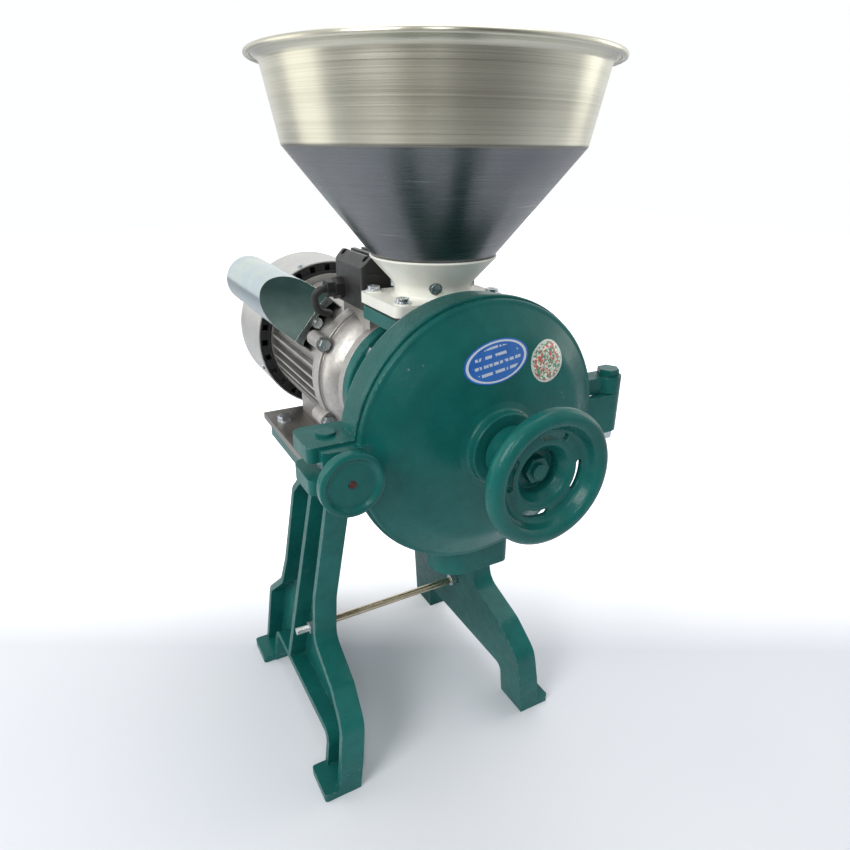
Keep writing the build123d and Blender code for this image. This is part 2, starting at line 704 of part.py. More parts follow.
def air_guide_ring():
    """Black ring between the motor shell and the cowl, with a square opening in each field."""
    y0 = COWL_FRONT_Y + 1
    cowl_in = COWL_R - COWL_T - FIT
    ring = rod_y(cowl_in, y0, y0 + 3) + rod_y(cowl_in, y0, y0 + 12) - rod_y(cowl_in - 3, y0 + 3, y0 + 13)
    ring += rod_y(BELL_R + 3, y0 - 5, y0 + 3)
    ring -= rod_y(BELL_R + FIT, y0 - 6, y0 + 13)
    middle = (BELL_R + 3 + cowl_in - 3) / 2
    for index in range(RING_OPENINGS):
        angle = index * 360 / RING_OPENINGS
        x, z = around_y(angle, middle)
        ring -= Pos(x, y0 + 1, z) * Rot(0, -angle, 0) * Box(RING_OPENING, 12, RING_OPENING)
    for angle in COWL_SCREW_ANGLES:
        ring -= cowl_screw(angle, FIT)
    return ring


def cowl_screw(angle, clearance):
    """Pan head screw through the cowl into the ring."""
    x, z = around_y(angle, COWL_R - 2.4)
    place = Pos(x, COWL_FRONT_Y + 8, z) * Rot(0, 90 - angle, 0)
    screw = place * Cylinder(1.75 + clearance, 5)
    head_x, head_z = around_y(angle, COWL_R + 1.1)
    if clearance == 0:
        screw += Pos(head_x, COWL_FRONT_Y + 8, head_z) * Rot(0, 90 - angle, 0) * Cylinder(3.4, 2.2)
    return screw


def cowl_screws():
    return group([cowl_screw(angle, 0) for angle in COWL_SCREW_ANGLES])


def fan_cowl():
    cowl = turned_y([
        (0, COWL_FRONT_Y, 0),
        (COWL_R, COWL_FRONT_Y, 0),
        (COWL_R, COWL_BACK_Y, COWL_EDGE_R),
        (0, COWL_BACK_Y, 0),
    ])
    cowl -= turned_y([
        (0, COWL_FRONT_Y - 1, 0),
        (COWL_R - COWL_T, COWL_FRONT_Y - 1, 0),
        (COWL_R - COWL_T, COWL_BACK_Y - COWL_T, COWL_EDGE_R - COWL_T),
        (0, COWL_BACK_Y - COWL_T, 0),
    ])
    for index in range(24):
        angle = index * 15
        x, z = around_y(angle, (COWL_VENT_R + 18) / 2)
        slot = Box(COWL_VENT_R - 18, 6, 4)
        cowl -= Pos(x, COWL_BACK_Y, z) * Rot(0, -angle, 0) * slot
    for angle in COWL_SCREW_ANGLES:
        cowl -= cowl_screw(angle, FIT)
    return cowl


# ---- terminal box -------------------------------------------------------------------------------
def box_corner_places():
    inset = 8.0
    return [(x, y) for x in (-BOX_HALF_X + inset, BOX_HALF_X - inset)
            for y in (BOX_Y0 + inset, BOX_Y1 - inset)]


def rounded_plate(x0, x1, y0, y1, z0, z1, corner):
    """A flat plate with rounded upright corners."""
    face = rounded_face([(x0, y0, corner), (x1, y0, corner), (x1, y1, corner), (x0, y1, corner)])
    return Pos(0, 0, z0) * extrude(face, z1 - z0)


def terminal_box():
    low = AXIS_Z + BOX_FLOOR
    high = AXIS_Z + BOX_RIM
    wall = BOX_WALL
    box = rounded_plate(-BOX_HALF_X, BOX_HALF_X, BOX_Y0, BOX_Y1, low, high, 5)
    box -= rounded_plate(-BOX_HALF_X + wall, BOX_HALF_X - wall, BOX_Y0 + wall, BOX_Y1 - wall,
                         low + wall, high + 1, 3)
    for x, y in box_corner_places():
        out_x = 6 if x > 0 else -6
        out_y = 6 if y > BELL_BACK_Y - 10 else -6
        box += Pos(x + out_x / 4, y + out_y / 4, high - BOX_POST / 2) * Box(10, 10, BOX_POST)
    for x, y in box_corner_places():
        box -= rod_z(LID_SCREW_R + FIT, high - BOX_POST - 1, high + 1, x, y)
    box -= rod_z(WIRE_HOLE_R, low - 1, low + wall + 1, 0, BELL_BACK_Y + 10)
    box -= rod_x(GLAND_THREAD_R + FIT, -BOX_HALF_X - 1, BOX_HALF_X + 1, GLAND_Y, AXIS_Z + GLAND_Z)
    return box


def terminal_box_lid():
    """Lid with bevelled sides and ribs along its top."""
    low = AXIS_Z + BOX_RIM
    lid = rounded_plate(-BOX_HALF_X, BOX_HALF_X, BOX_Y0, BOX_Y1, low, low + BOX_LID_T, 5)
    bevel = LID_BEVEL
    side = rounded_face([
        (-BOX_HALF_X, low, 0),
        (BOX_HALF_X, low, 0),
        (BOX_HALF_X, low + BOX_LID_T - bevel, 1),
        (BOX_HALF_X - bevel, low + BOX_LID_T, 2),
        (-BOX_HALF_X + bevel, low + BOX_LID_T, 2),
        (-BOX_HALF_X, low + BOX_LID_T - bevel, 1),
    ])
    lid &= Pos(0, BOX_Y1 + 1, 0) * extrude(Plane.XZ * side, BOX_Y1 - BOX_Y0 + 2)
    inset = 2 * BOX_WALL
    lid -= block(-BOX_HALF_X + inset + bevel, BOX_HALF_X - inset - bevel, BOX_Y0 + inset, BOX_Y1 - inset,
                 low - 1, low + BOX_LID_T - BOX_WALL - LID_GROOVE)
    pitch = (2 * BOX_HALF_X - 2 * bevel) / LID_RIBS
    for index in range(LID_RIBS):
        x = -BOX_HALF_X + bevel + pitch * (index + 0.5)
        lid -= block(x - pitch * 0.28, x + pitch * 0.28, BOX_Y0 - 1, BOX_Y1 + 1,
                     low + BOX_LID_T - LID_GROOVE, low + BOX_LID_T + 1)
    for x, y in box_corner_places():
        lid -= rod_z(LID_SCREW_R + FIT, low - 1, low + BOX_LID_T + 1, x, y)
        lid -= rod_z(3.4, low + 5, low + BOX_LID_T + 1, x, y)
    return lid


def terminal_lid_screws():
    low = AXIS_Z + BOX_RIM
    screws = []
    for x, y in box_corner_places():
        screw = rod_z(LID_SCREW_R, low - BOX_POST + 1, low + 5.5, x, y)
        screws.append(screw + rod_z(3.2, low + 5, low + 7.5, x, y))
    return group(screws)


def terminal_board():
    """Insulating board with six studs, standing on the floor of the box."""
    floor = AXIS_Z + BOX_FLOOR + BOX_WALL
    board = block(-24, 24, BOX_Y0 + 10, BOX_Y0 + 34, floor, floor + 7)
    for x in (-16, 0, 16):
        for y in (BOX_Y0 + 16, BOX_Y0 + 28):
            board += rod_z(2, floor + 6, floor + 16, x, y) + hex_z(7, floor + 7, floor + 10, x, y)
    return board


def cable_glands():
    """One gland for the capacitor lead at the left and one for the mains cable at the right."""
    z = AXIS_Z + GLAND_Z
    face = BOX_HALF_X
    thread = face - BOX_WALL - 6
    gland = rod_x(GLAND_THREAD_R, thread, face, GLAND_Y, z)
    gland += hex_x(2 * GLAND_R, face, face + GLAND_L / 2, GLAND_Y, z)
    gland += rod_x(GLAND_R - 1, face + GLAND_L / 2, face + GLAND_L, GLAND_Y, z)
    gland += hex_x(2.3 * GLAND_THREAD_R, face - BOX_WALL - 4, face - BOX_WALL, GLAND_Y, z)
    gland -= rod_x(LEAD_R + FIT, thread - 1, face + GLAND_L + 1, GLAND_Y, z)
    return group([gland, mirror(gland, Plane.YZ)])


# ---- run capacitor ------------------------------------------------------------------------------
def run_capacitor():
    x, z = around_y(CAP_ANGLE, CAP_CENTRE_R)
    can = rod_y(CAP_R, CAP_Y0, CAP_Y1, x, z)
    can = fillet(can.edges().filter_by(GeomType.CIRCLE), 2)
    stud = rod_y(4, CAP_Y0 - 6, CAP_Y0 + 1, x - 6, z - 8)
    return can + stud


def cap_section(inset):
    """Section of the capacitor cover: round on top, straight sides towards the motor."""
    width = CAP_COVER_R - inset
    section = Circle(width) + Pos(-CAP_COVER_CENTRE_R / 2, 0) * Rectangle(CAP_COVER_CENTRE_R, 2 * width)
    return section


def cap_solid(inset, y0, y1, slope_shift):
    """The cover's section along Y, its front cut to the slope."""
    x, z = around_y(CAP_ANGLE, CAP_COVER_CENTRE_R)
    turned = Plane(origin=(x, y1, z), x_dir=(cos(radians(CAP_ANGLE)), 0, sin(radians(CAP_ANGLE))),
                   z_dir=(0, -1, 0))
    solid = extrude(turned * cap_section(inset), y1 - y0)
    top_r = CAP_COVER_CENTRE_R + CAP_COVER_R
    wedge = Polyline([
        (CAP_STRIP_R1, CAP_COVER_Y0 + slope_shift),
        (top_r + 10, CAP_COVER_Y0 + slope_shift
         + (CAP_SLOPE_Y - CAP_COVER_Y0) * (top_r + 10 - CAP_STRIP_R1) / (top_r - CAP_STRIP_R1)),
        (top_r + 10, CAP_COVER_Y0 - 40),
        (CAP_STRIP_R1, CAP_COVER_Y0 - 40),
    ], close=True)
    cut = extrude(make_face(wedge), 2 * CAP_COVER_R + 10, both=True)
    cut = Pos(0, 0, AXIS_Z) * Rot(0, -CAP_ANGLE, 0) * cut
    return solid - cut


def capacitor_cover():
    """Sheet cover over the capacitor, run on over the cowl, with a strip and an ear in front."""
    cover = cap_solid(0, CAP_COVER_Y0, CAP_COVER_Y1, 0)
    cover -= cap_solid(CAP_COVER_T, CAP_COVER_Y0 + CAP_COVER_T, CAP_COVER_Y1 - CAP_COVER_T,
                       CAP_COVER_T * 1.2)
    cover -= rod_y(SHELL_R + RUNNING_GAP, CAP_COVER_Y0 - 1, COWL_FRONT_Y)
    cover -= rod_y(COWL_R + RUNNING_GAP, SHELL_BACK_Y, CAP_COVER_Y1 + 1)
    ear = rod_y(EAR_R, CAP_COVER_Y0 - 1, CAP_COVER_Y0 + 2, *around_y(CAP_ANGLE, CAP_EAR_R))
    opening = rod_y(CAP_STRIP_R0, CAP_COVER_Y0 - 1, CAP_COVER_Y0 + CAP_COVER_T + 0.1) - ear
    cover -= opening
    cover -= rod_y(CAP_SCREW_R + FIT, CAP_COVER_Y0 - 2, CAP_COVER_Y0 + 3, *around_y(CAP_ANGLE, CAP_EAR_R))
    return cover


def capacitor_cover_screw():
    x, z = around_y(CAP_ANGLE, CAP_EAR_R)
    head = rod_y(2 * CAP_SCREW_R, CAP_COVER_Y0 - 2.2, CAP_COVER_Y0, x, z)
    head -= block(x - 5, x + 5, CAP_COVER_Y0 - 3, CAP_COVER_Y0 - 1.4, z - 0.5, z + 0.5)
    return head + rod_y(CAP_SCREW_R, CAP_COVER_Y0 - 1, CAP_COVER_Y0 + 9, x, z)


def capacitor_lead():
    """Lead from the gland, under the front strip of the cover, to the capacitor."""
    gland_z = AXIS_Z + GLAND_Z
    points = [Vector(*place) for place in (
        (-BOX_HALF_X + 3, GLAND_Y, gland_z),
        (-BOX_HALF_X - 28, GLAND_Y, gland_z),
        (-BOX_HALF_X - 23, GLAND_Y + 9, gland_z - 22),
        (-BOX_HALF_X - 3, GLAND_Y + 21, gland_z - 30),
        (-BOX_HALF_X - 5, GLAND_Y + 40, gland_z - 30),
        (-BOX_HALF_X - 17, CAP_Y0 - 16, gland_z - 30),
        (-BOX_HALF_X - 17, CAP_Y0, gland_z - 30),
    )]
    radii = []
    for before, here, after in zip(points, points[1:], points[2:]):
        turn = radians((here - before).get_angle(after - here))
        radii.append(0.45 * min((here - before).length, (after - here).length) / tan(turn / 2))
    path = FilletPolyline(*points, radius=radii)
    section = Plane(origin=path @ 0, z_dir=path % 0) * Circle(LEAD_R)
    return sweep(section, path=path)


# ---- mill housing -------------------------------------------------------------------------------
def motor_bolt_places():
    return [around_y(angle, MOTOR_FLANGE_BOLT_R) for angle in (45, 135, 225, 315)]


def neck_bolt_places():
    return [(x, HOPPER_Y + y) for x in (-NECK_BOLT_X, NECK_BOLT_X) for y in (-NECK_BOLT_Y, NECK_BOLT_Y)]


def neck_plate(inset, z0, z1):
    """The outline shared by the neck flange, its gasket and the seat on the housing."""
    half_x = NECK_FLANGE_X / 2 - inset
    half_y = NECK_FLANGE_Y / 2 - inset
    return rounded_plate(-half_x, half_x, HOPPER_Y - half_y, HOPPER_Y + half_y, z0, z1, 6)


def chute_solid(inset, z0, z1):
    """Upright block of the discharge chute with one large rounded corner."""
    front = SEAM_Y + 2
    back_corner = max(3 - inset, 0.5)
    face = rounded_face([
        (CHUTE_X0 + inset, front + inset, CHUTE_CORNER_R - inset),
        (CHUTE_X1 - inset, front + inset, 8 - inset / 2),
        (CHUTE_X1 - inset, front + CHUTE_DEPTH - inset, back_corner),
        (CHUTE_X0 + inset, front + CHUTE_DEPTH - inset, back_corner),
    ])
    return Pos(0, 0, z0) * extrude(face, z1 - z0)


def closing_ears():
    """Two lugs at the left that hold the pin of the swing bolt between them."""
    tip = CLAMP_X - EAR_TIP
    face = rounded_face([
        (-DRUM_R + 12, SEAM_Y, 0),
        (-DRUM_R + 12, DRUM_BACK_Y, 0),
        (tip, DRUM_BACK_Y + 4, 9),
        (tip, SEAM_Y, 5),
    ])
    ears = Pos(0, 0, CLAMP_Z - EAR_HALF_Z) * extrude(face, 2 * EAR_HALF_Z)
    half = EAR_SLOT / 2
    return ears - block(tip - 5, -DRUM_R - 0.5, SEAM_Y - 5, DRUM_BACK_Y + 10, CLAMP_Z - half, CLAMP_Z + half)


def mill_housing():
    """Burr drum, feed chamber, discharge chute and motor flange in one casting."""
    lip_back = SEAM_Y + FLANGE_LIP_T
    flange_front = MOTOR_FACE_Y - MOTOR_FLANGE_T
    housing = turned_y([
        (0, SEAM_Y, 0),
        (FLANGE_LIP_R, SEAM_Y, 1),
        (FLANGE_LIP_R, lip_back, 1.5),
        (DRUM_R, lip_back, 0),
        (DRUM_R, DRUM_BACK_Y, 8),
        (CHAMBER_OUT_R + 24, DRUM_BACK_Y, 6),
        (CHAMBER_OUT_R, DRUM_BACK_Y + 20, 8),
        (CHAMBER_OUT_R, flange_front, 3),
        (MOTOR_FLANGE_R, flange_front, 2),
        (MOTOR_FLANGE_R, MOTOR_FACE_Y, 0),
        (0, MOTOR_FACE_Y, 0),
    ])
    housing += rod_z(NECK_BORE_R + CHAMBER_WALL, AXIS_Z, SEAT_Z, 0, HOPPER_Y)
    housing += neck_plate(1, SEAT_Z - SEAT_FLANGE_T, SEAT_Z)
    housing += chute_solid(0, CHUTE_BOTTOM_Z, CHUTE_TOP_Z)
    housing += closing_ears()
    housing += rod_z(HINGE_LUG_R, HINGE_SPLIT_Z + RUNNING_GAP, HINGE_TOP_Z, HINGE_X, HINGE_Y)
    housing += block(DRUM_R - 12, HINGE_X, SEAM_Y, HINGE_Y + HINGE_LUG_R,
                     HINGE_SPLIT_Z + RUNNING_GAP, HINGE_TOP_Z)
    housing -= rod_y(DRUM_R - DRUM_WALL, SEAM_Y - 1, DRUM_FLOOR_Y)
    housing -= rod_y(CHAMBER_R, DRUM_FLOOR_Y - 1, CHAMBER_BACK_Y)
    housing -= rod_z(NECK_BORE_R, AXIS_Z, SEAT_Z + 1, 0, HOPPER_Y)
    housing -= rod_y(MOTOR_FLANGE_R - 20, MOTOR_FACE_Y - 10, MOTOR_FACE_Y + 1)
    housing -= rod_y(SEAL_R + FIT, MOTOR_FACE_Y - 10 - SEAL_W, MOTOR_FACE_Y - 9)
    housing -= rod_y(SHAFT_R + 1, CHAMBER_BACK_Y - 1, MOTOR_FACE_Y)
    housing -= chute_solid(CHUTE_WALL, CHUTE_BOTTOM_Z - 1, CHUTE_TOP_Z - 3)
    for x, z in motor_bolt_places():
        housing -= rod_y(HOUSING_BOLT_R + FIT, flange_front - 1, MOTOR_FACE_Y + 1, x, z)
        housing -= rod_y(HOUSING_BOLT_R + 4.2, flange_front - 9, flange_front, x, z)
    for x, y in neck_bolt_places():
        housing -= rod_z(NECK_BOLT_R + FIT, SEAT_Z - SEAT_FLANGE_T + 1, SEAT_Z + 1, x, y)
    for place in burr_screw_places():
        housing -= rod_y(BURR_SCREW_R + FIT, DRUM_FLOOR_Y - 1, DRUM_FLOOR_Y + 5.5, *place)
    housing -= rod_z(HINGE_PIN_R + FIT, HINGE_SPLIT_Z, HINGE_TOP_Z + 1, HINGE_X, HINGE_Y)
    housing -= rod_z(CLAMP_PIN_R + FIT, CLAMP_Z - 30, CLAMP_Z + 30, CLAMP_X, CLAMP_PIN_Y)
    return housing


def housing_bolts():
    bolts = []
    for x, z in motor_bolt_places():
        flange_front = MOTOR_FACE_Y - MOTOR_FLANGE_T
        bolt = rod_y(HOUSING_BOLT_R, flange_front - 1, MOTOR_FACE_Y + 10, x, z)
        bolts.append(bolt + hex_y(3.4 * HOUSING_BOLT_R, flange_front - 5.5, flange_front, x, z))
    return group(bolts)


def shaft_seal():
    back = MOTOR_FACE_Y - 10
    front = back - SEAL_W
    seal = rod_y(SEAL_R, front, back) - rod_y(SHAFT_R + THREAD_PLAY, front - 1, back + 1)
    hollow = rod_y(SEAL_R - 2, front + 2, back + 1) - rod_y(SHAFT_R + 2, front, back + 2)
    return seal - hollow


# ---- milling set --------------------------------------------------------------------------------
def burr_screw_places():
    return [around_y(90 + 360 / BURR_SCREWS * index, BURR_SCREW_PLACE_R) for index in range(BURR_SCREWS)]


def burr(y0, face_y):
    """A grinding ring with slanting grooves in the face at face_y."""
    ring = rod_y(BURR_R, y0, y0 + BURR_T) - rod_y(BURR_BORE_R, y0 - 1, y0 + BURR_T + 1)
    for index in range(BURR_GROOVES):
        angle = index * 360 / BURR_GROOVES
        x, z = around_y(angle, (BURR_R + BURR_BORE_R) / 2)
        groove = Box(BURR_R - BURR_BORE_R + 20, 2 * GROOVE_DEPTH, GROOVE_W)
        ring -= Pos(x, face_y, z) * Rot(0, -angle - GROOVE_SLANT, 0) * groove
    return ring


def fixed_burr():
    ring = burr(FIXED_BURR_Y, FIXED_BURR_Y)
    for x, z in burr_screw_places():
        ring -= rod_y(BURR_SCREW_R + FIT, FIXED_BURR_Y - 1, DRUM_FLOOR_Y + 1, x, z)
        ring -= rod_y(1.8 * BURR_SCREW_R + FIT, FIXED_BURR_Y - 1, FIXED_BURR_Y + 4, x, z)
    return ring


def fixed_burr_screws():
    screws = []
    for x, z in burr_screw_places():
        head = rod_y(1.8 * BURR_SCREW_R, FIXED_BURR_Y + 0.8, FIXED_BURR_Y + 4, x, z)
        screws.append(head + rod_y(BURR_SCREW_R, FIXED_BURR_Y + 3, DRUM_FLOOR_Y + 5, x, z))
    return group(screws)


def rotating_burr():
    back = ROTOR_BURR_Y + BURR_T
    ring = burr(ROTOR_BURR_Y, back)
    for x, z in burr_screw_places():
        ring -= rod_y(BURR_SCREW_R + FIT, ROTOR_BURR_Y - 1, back + 1, x, z)
        ring -= rod_y(1.8 * BURR_SCREW_R + FIT, back - 4, back + 1, x, z)
    return ring


def rotating_burr_screws():
    back = ROTOR_BURR_Y + BURR_T
    screws = []
    for x, z in burr_screw_places():
        head = rod_y(1.8 * BURR_SCREW_R, back - 4, back - 0.8, x, z)
        screws.append(head + rod_y(BURR_SCREW_R, DISC_Y + 3, back - 3, x, z))
    return group(screws)


def rotor_disc():
    """Carrier of the rotating burr, sliding on the keyed end of the shaft."""
    disc = rod_y(DISC_R, DISC_Y, DISC_Y + DISC_T)
    disc += rod_y(DISC_HUB_R, DISC_Y - DISC_NOSE, DISC_Y)
    disc += rod_y(DISC_TAIL_R, DISC_Y + DISC_T, DRUM_FLOOR_Y - 1)
    disc -= rod_y(DRIVE_R + THREAD_PLAY, DISC_Y + 2.5, DRUM_FLOOR_Y)
    disc -= block(-KEY_W / 2 - THREAD_PLAY, KEY_W / 2 + THREAD_PLAY, DISC_Y + 2.5, DRUM_FLOOR_Y,
                  AXIS_Z, AXIS_Z + DRIVE_R + KEY_H + THREAD_PLAY)
    for x, z in burr_screw_places():
        disc -= rod_y(BURR_SCREW_R + FIT, DISC_Y + 2.5, DISC_Y + DISC_T + 1, x, z)
    return disc


def feed_screw():
    """Auger that carries the grain from the neck to the burrs."""
    front = DRUM_FLOOR_Y + 1
    back = CHAMBER_BACK_Y - 1.5
    length = back - front
    core = Cylinder(SCREW_CORE_R, length, align=(Align.CENTER, Align.CENTER, Align.MIN))
    path = Helix(SCREW_PITCH, length - SCREW_FLIGHT_T, SCREW_CORE_R)
    middle = (SCREW_R - SCREW_CORE_R) / 2
    section = Plane(origin=path @ 0, x_dir=(1, 0, 0), z_dir=path % 0)
    flight = sweep(section * Pos(middle - 0.5, 0) * Rectangle(2 * middle + 1, SCREW_FLIGHT_T),
                   path=path, is_frenet=True)
    screw = core + Pos(0, 0, SCREW_FLIGHT_T / 2) * flight
    screw &= Cylinder(SCREW_R, length, align=(Align.CENTER, Align.CENTER, Align.MIN))
    screw = Pos(0, front, AXIS_Z) * Rot(-90, 0, 0) * screw
    return screw - rod_y(SHAFT_R + FIT, front - 1, back + 1)


# ---- front cover, hinge and labels --------------------------------------------------------------
def cover_outline(shift):
    """Outer corners of the cover from its rim over the dome to the boss."""
    seam = SEAM_Y - RUNNING_GAP + shift
    dome = SEAM_Y - DOME_DEPTH + shift
    return [
        (0, seam, 0),
        (COVER_R, seam, 0.6),
        (COVER_R, seam - COVER_LIP_T, 2),
        (COVER_R - 4, seam - COVER_LIP_T - 1, 2),
        (COVER_R - 25, dome + 8, 26),
        (BOSS_R + 6, dome, 6),
        (BOSS_R, dome - 2, 3),
        (BOSS_R, BOSS_FACE_Y + shift, 1.5),
        (0, BOSS_FACE_Y + shift, 0),
    ]


def cover_fork():
    """Two prongs at the left edge that the swing bolt closes on."""
    tip = CLAMP_X - COVER_FORK_TIP
    y0 = CLAMP_FACE_Y + RUNNING_GAP
    y1 = SEAM_Y - RUNNING_GAP
    z0 = CLAMP_Z - COVER_FORK_HALF_Z
    z1 = CLAMP_Z + COVER_FORK_HALF_Z
    swing = rod_z(CLAMP_REACH - RUNNING_GAP, z0, z1, CLAMP_X, CLAMP_PIN_Y)
    fork = block(CLAMP_X, -COVER_R + 12, y0, y1, z0, z1) + (block(tip, CLAMP_X, y0, y1, z0, z1) & swing)
    slot_end = CLAMP_X + CLAMP_BOLT_R + 0.6
    half = COVER_FORK_SLOT / 2
    return fork - block(tip - 1, slot_end, y0 - 1, y1 + 1, CLAMP_Z - half, CLAMP_Z + half)


def front_cover():
    seam = SEAM_Y - RUNNING_GAP
    cover = turned_y(cover_outline(0))
    cover += cover_fork()
    cover += rod_z(HINGE_LUG_R, HINGE_BOTTOM_Z, HINGE_SPLIT_Z, HINGE_X, HINGE_Y)
    cover += block(COVER_R - 12, HINGE_X, HINGE_Y - HINGE_LUG_R, seam, HINGE_BOTTOM_Z, HINGE_SPLIT_Z)
    inside = DRUM_R - DRUM_WALL
    dome = SEAM_Y - DOME_DEPTH + COVER_WALL
    cover -= turned_y([
        (0, seam + 1, 0),
        (inside, seam + 1, 0),
        (inside, seam - 3, 3),
        (COVER_R - 25 - COVER_WALL / 2, dome + 8, 22),
        (SPINDLE_R + 10, dome, 5),
        (SPINDLE_R + 10, dome - 1, 0),
        (0, dome - 1, 0),
    ])
    cover -= rod_y(SPINDLE_R + THREAD_PLAY, BOSS_FACE_Y - 1, seam)
    cover -= rod_z(HINGE_PIN_R + THREAD_PLAY, HINGE_BOTTOM_Z - 1, HINGE_SPLIT_Z + 1, HINGE_X, HINGE_Y)
    return cover


def hinge_pin():
    low = HINGE_BOTTOM_Z - RUNNING_GAP
    pin = rod_z(HINGE_PIN_R, low - 12, HINGE_TOP_Z + 1, HINGE_X, HINGE_Y)
    return pin + hex_z(3.4 * HINGE_PIN_R, HINGE_TOP_Z, HINGE_TOP_Z + 6, HINGE_X, HINGE_Y)


def hinge_pin_nut():
    low = HINGE_BOTTOM_Z - RUNNING_GAP
    nut = hex_z(3.4 * HINGE_PIN_R, low - 8, low, HINGE_X, HINGE_Y)
    return nut - rod_z(HINGE_PIN_R + FIT, low - 9, low + 1, HINGE_X, HINGE_Y)


def label(centre_x, centre_z, half_w, half_h, tilt):
    """A thin oval plate that follows the dome."""
    skin = turned_y(cover_outline(-LABEL_T)) - turned_y(cover_outline(0))
    face = Plane(origin=(centre_x, SEAM_Y, AXIS_Z + centre_z), x_dir=(1, 0, 0), z_dir=(0, -1, 0))
    prism = extrude(face * Rot(0, 0, tilt) * Ellipse(half_w, half_h), 2 * DOME_DEPTH)
    return skin & prism


def rating_plate():
    return label(*PLATE_CENTRE, PLATE_HALF_W, PLATE_HALF_H, PLATE_LEAN)


def inspection_seal():
    return label(*SEAL_CENTRE, INSPECTION_R, INSPECTION_R - 0.1, 0)


# ---- adjusting spindle and hand wheel -----------------------------------------------------------
def thrust_cap():
    """Hardened cap on the spindle's nose, pressing on the hub of the rotating disc."""
    back = THRUST_FACE_Y
    cap = rod_y(THRUST_CAP_R, back - THRUST_CAP_T, back)
    cap = fillet(cap.edges().filter_by(GeomType.CIRCLE), 1)
    return cap - rod_y(SPINDLE_NOSE_R + THREAD_PLAY, back - THRUST_CAP_T - 1, back - 3)


def adjusting_spindle():
    shoulder = THRUST_FACE_Y - THRUST_CAP_T - THREAD_PLAY
    spindle = rod_y(SPINDLE_NOSE_R, shoulder - 1, THRUST_FACE_Y - 3 - THREAD_PLAY)
    spindle += rod_y(SPINDLE_R, WHEEL_HUB_FACE_Y, shoulder)
    return spindle + rod_y(STUD_R, WHEEL_HUB_FACE_Y - 10, WHEEL_HUB_FACE_Y + 1)


def handwheel():
    """Dished hand wheel: hub, thin web with four slots and a thick rounded rim."""
    web_front = WHEEL_FRONT_Y + WHEEL_DISH
    web_back = web_front + WHEEL_WEB_T
    rim_in = WHEEL_R - WHEEL_RIM_W
    wheel = turned_y([
        (0, WHEEL_BACK_Y, 0),
        (WHEEL_HUB_R, WHEEL_BACK_Y, 2),
        (WHEEL_HUB_R, web_back, 12),
        (WHEEL_R, web_back, 6.5),
        (WHEEL_R, WHEEL_FRONT_Y, 7),
        (rim_in, WHEEL_FRONT_Y, 6),
        (rim_in - 5, web_front, 5),
        (WHEEL_RECESS_R + 6, web_front, 5),
        (WHEEL_RECESS_R, web_front + 8, 4),
        (WHEEL_RECESS_R, WHEEL_HUB_FACE_Y, 1),
        (0, WHEEL_HUB_FACE_Y, 0),
    ])
    for index in range(WHEEL_SLOTS):
        face = Plane(origin=(0, WHEEL_FRONT_Y - 1, AXIS_Z), x_dir=(1, 0, 0), z_dir=(0, -1, 0))
        turn = WHEEL_SLOT_ANGLE + index * 360 / WHEEL_SLOTS
        middle_line = CenterArc((0, 0), WHEEL_SLOT_R, turn - WHEEL_SLOT_ARC / 2, WHEEL_SLOT_ARC)
        slot = SlotArc(middle_line, WHEEL_SLOT_W)
        wheel -= extrude(face * slot, WHEEL_BACK_Y - WHEEL_FRONT_Y, both=True)
    return wheel - rod_y(SPINDLE_R + FIT, WHEEL_HUB_FACE_Y - 1, WHEEL_BACK_Y + 1)


def handwheel_nut():
    nut = hex_y(3 * STUD_R, WHEEL_HUB_FACE_Y - 7, WHEEL_HUB_FACE_Y)
    return nut - rod_y(STUD_R + FIT, WHEEL_HUB_FACE_Y - 8, WHEEL_HUB_FACE_Y + 1)


# ---- swing bolt clamp ---------------------------------------------------------------------------
def clamp_pivot_pin():
    low = CLAMP_Z - EAR_HALF_Z
    high = CLAMP_Z + EAR_HALF_Z
    pin = rod_z(CLAMP_PIN_R, low - 4, high + 1, CLAMP_X, CLAMP_PIN_Y)
    return pin + rod_z(CLAMP_PIN_R + 2.5, high, high + 2.5, CLAMP_X, CLAMP_PIN_Y)


def clamp_bolt():
    """Stud with a saddle that bears on the front of the pivot pin."""
    front = CLAMP_FACE_Y - CLAMP_WASHER_T - CLAMP_BOLT_END
    half = CLAMP_BOLT_R + 0.5
    bolt = rod_y(CLAMP_BOLT_R, front, CLAMP_PIN_Y - CLAMP_PIN_R - 1, CLAMP_X, CLAMP_Z)
    saddle = rod_z(CLAMP_PIN_R + 5, CLAMP_Z - half, CLAMP_Z + half, CLAMP_X, CLAMP_PIN_Y)
    saddle -= block(CLAMP_X - 20, CLAMP_X + 20, CLAMP_PIN_Y - 0.8 * CLAMP_PIN_R, CLAMP_PIN_Y + 20,
                    CLAMP_Z - 10, CLAMP_Z + 10)
    bolt += saddle
    return bolt - rod_z(CLAMP_PIN_R + PIVOT_GAP, CLAMP_Z - 10, CLAMP_Z + 10, CLAMP_X, CLAMP_PIN_Y)


def clamp_washer():
    washer = rod_y(CLAMP_WASHER_R, CLAMP_FACE_Y - CLAMP_WASHER_T, CLAMP_FACE_Y, CLAMP_X, CLAMP_Z)
    return washer - rod_y(CLAMP_BOLT_R + THREAD_PLAY, CLAMP_FACE_Y - 5, CLAMP_FACE_Y + 1, CLAMP_X, CLAMP_Z)


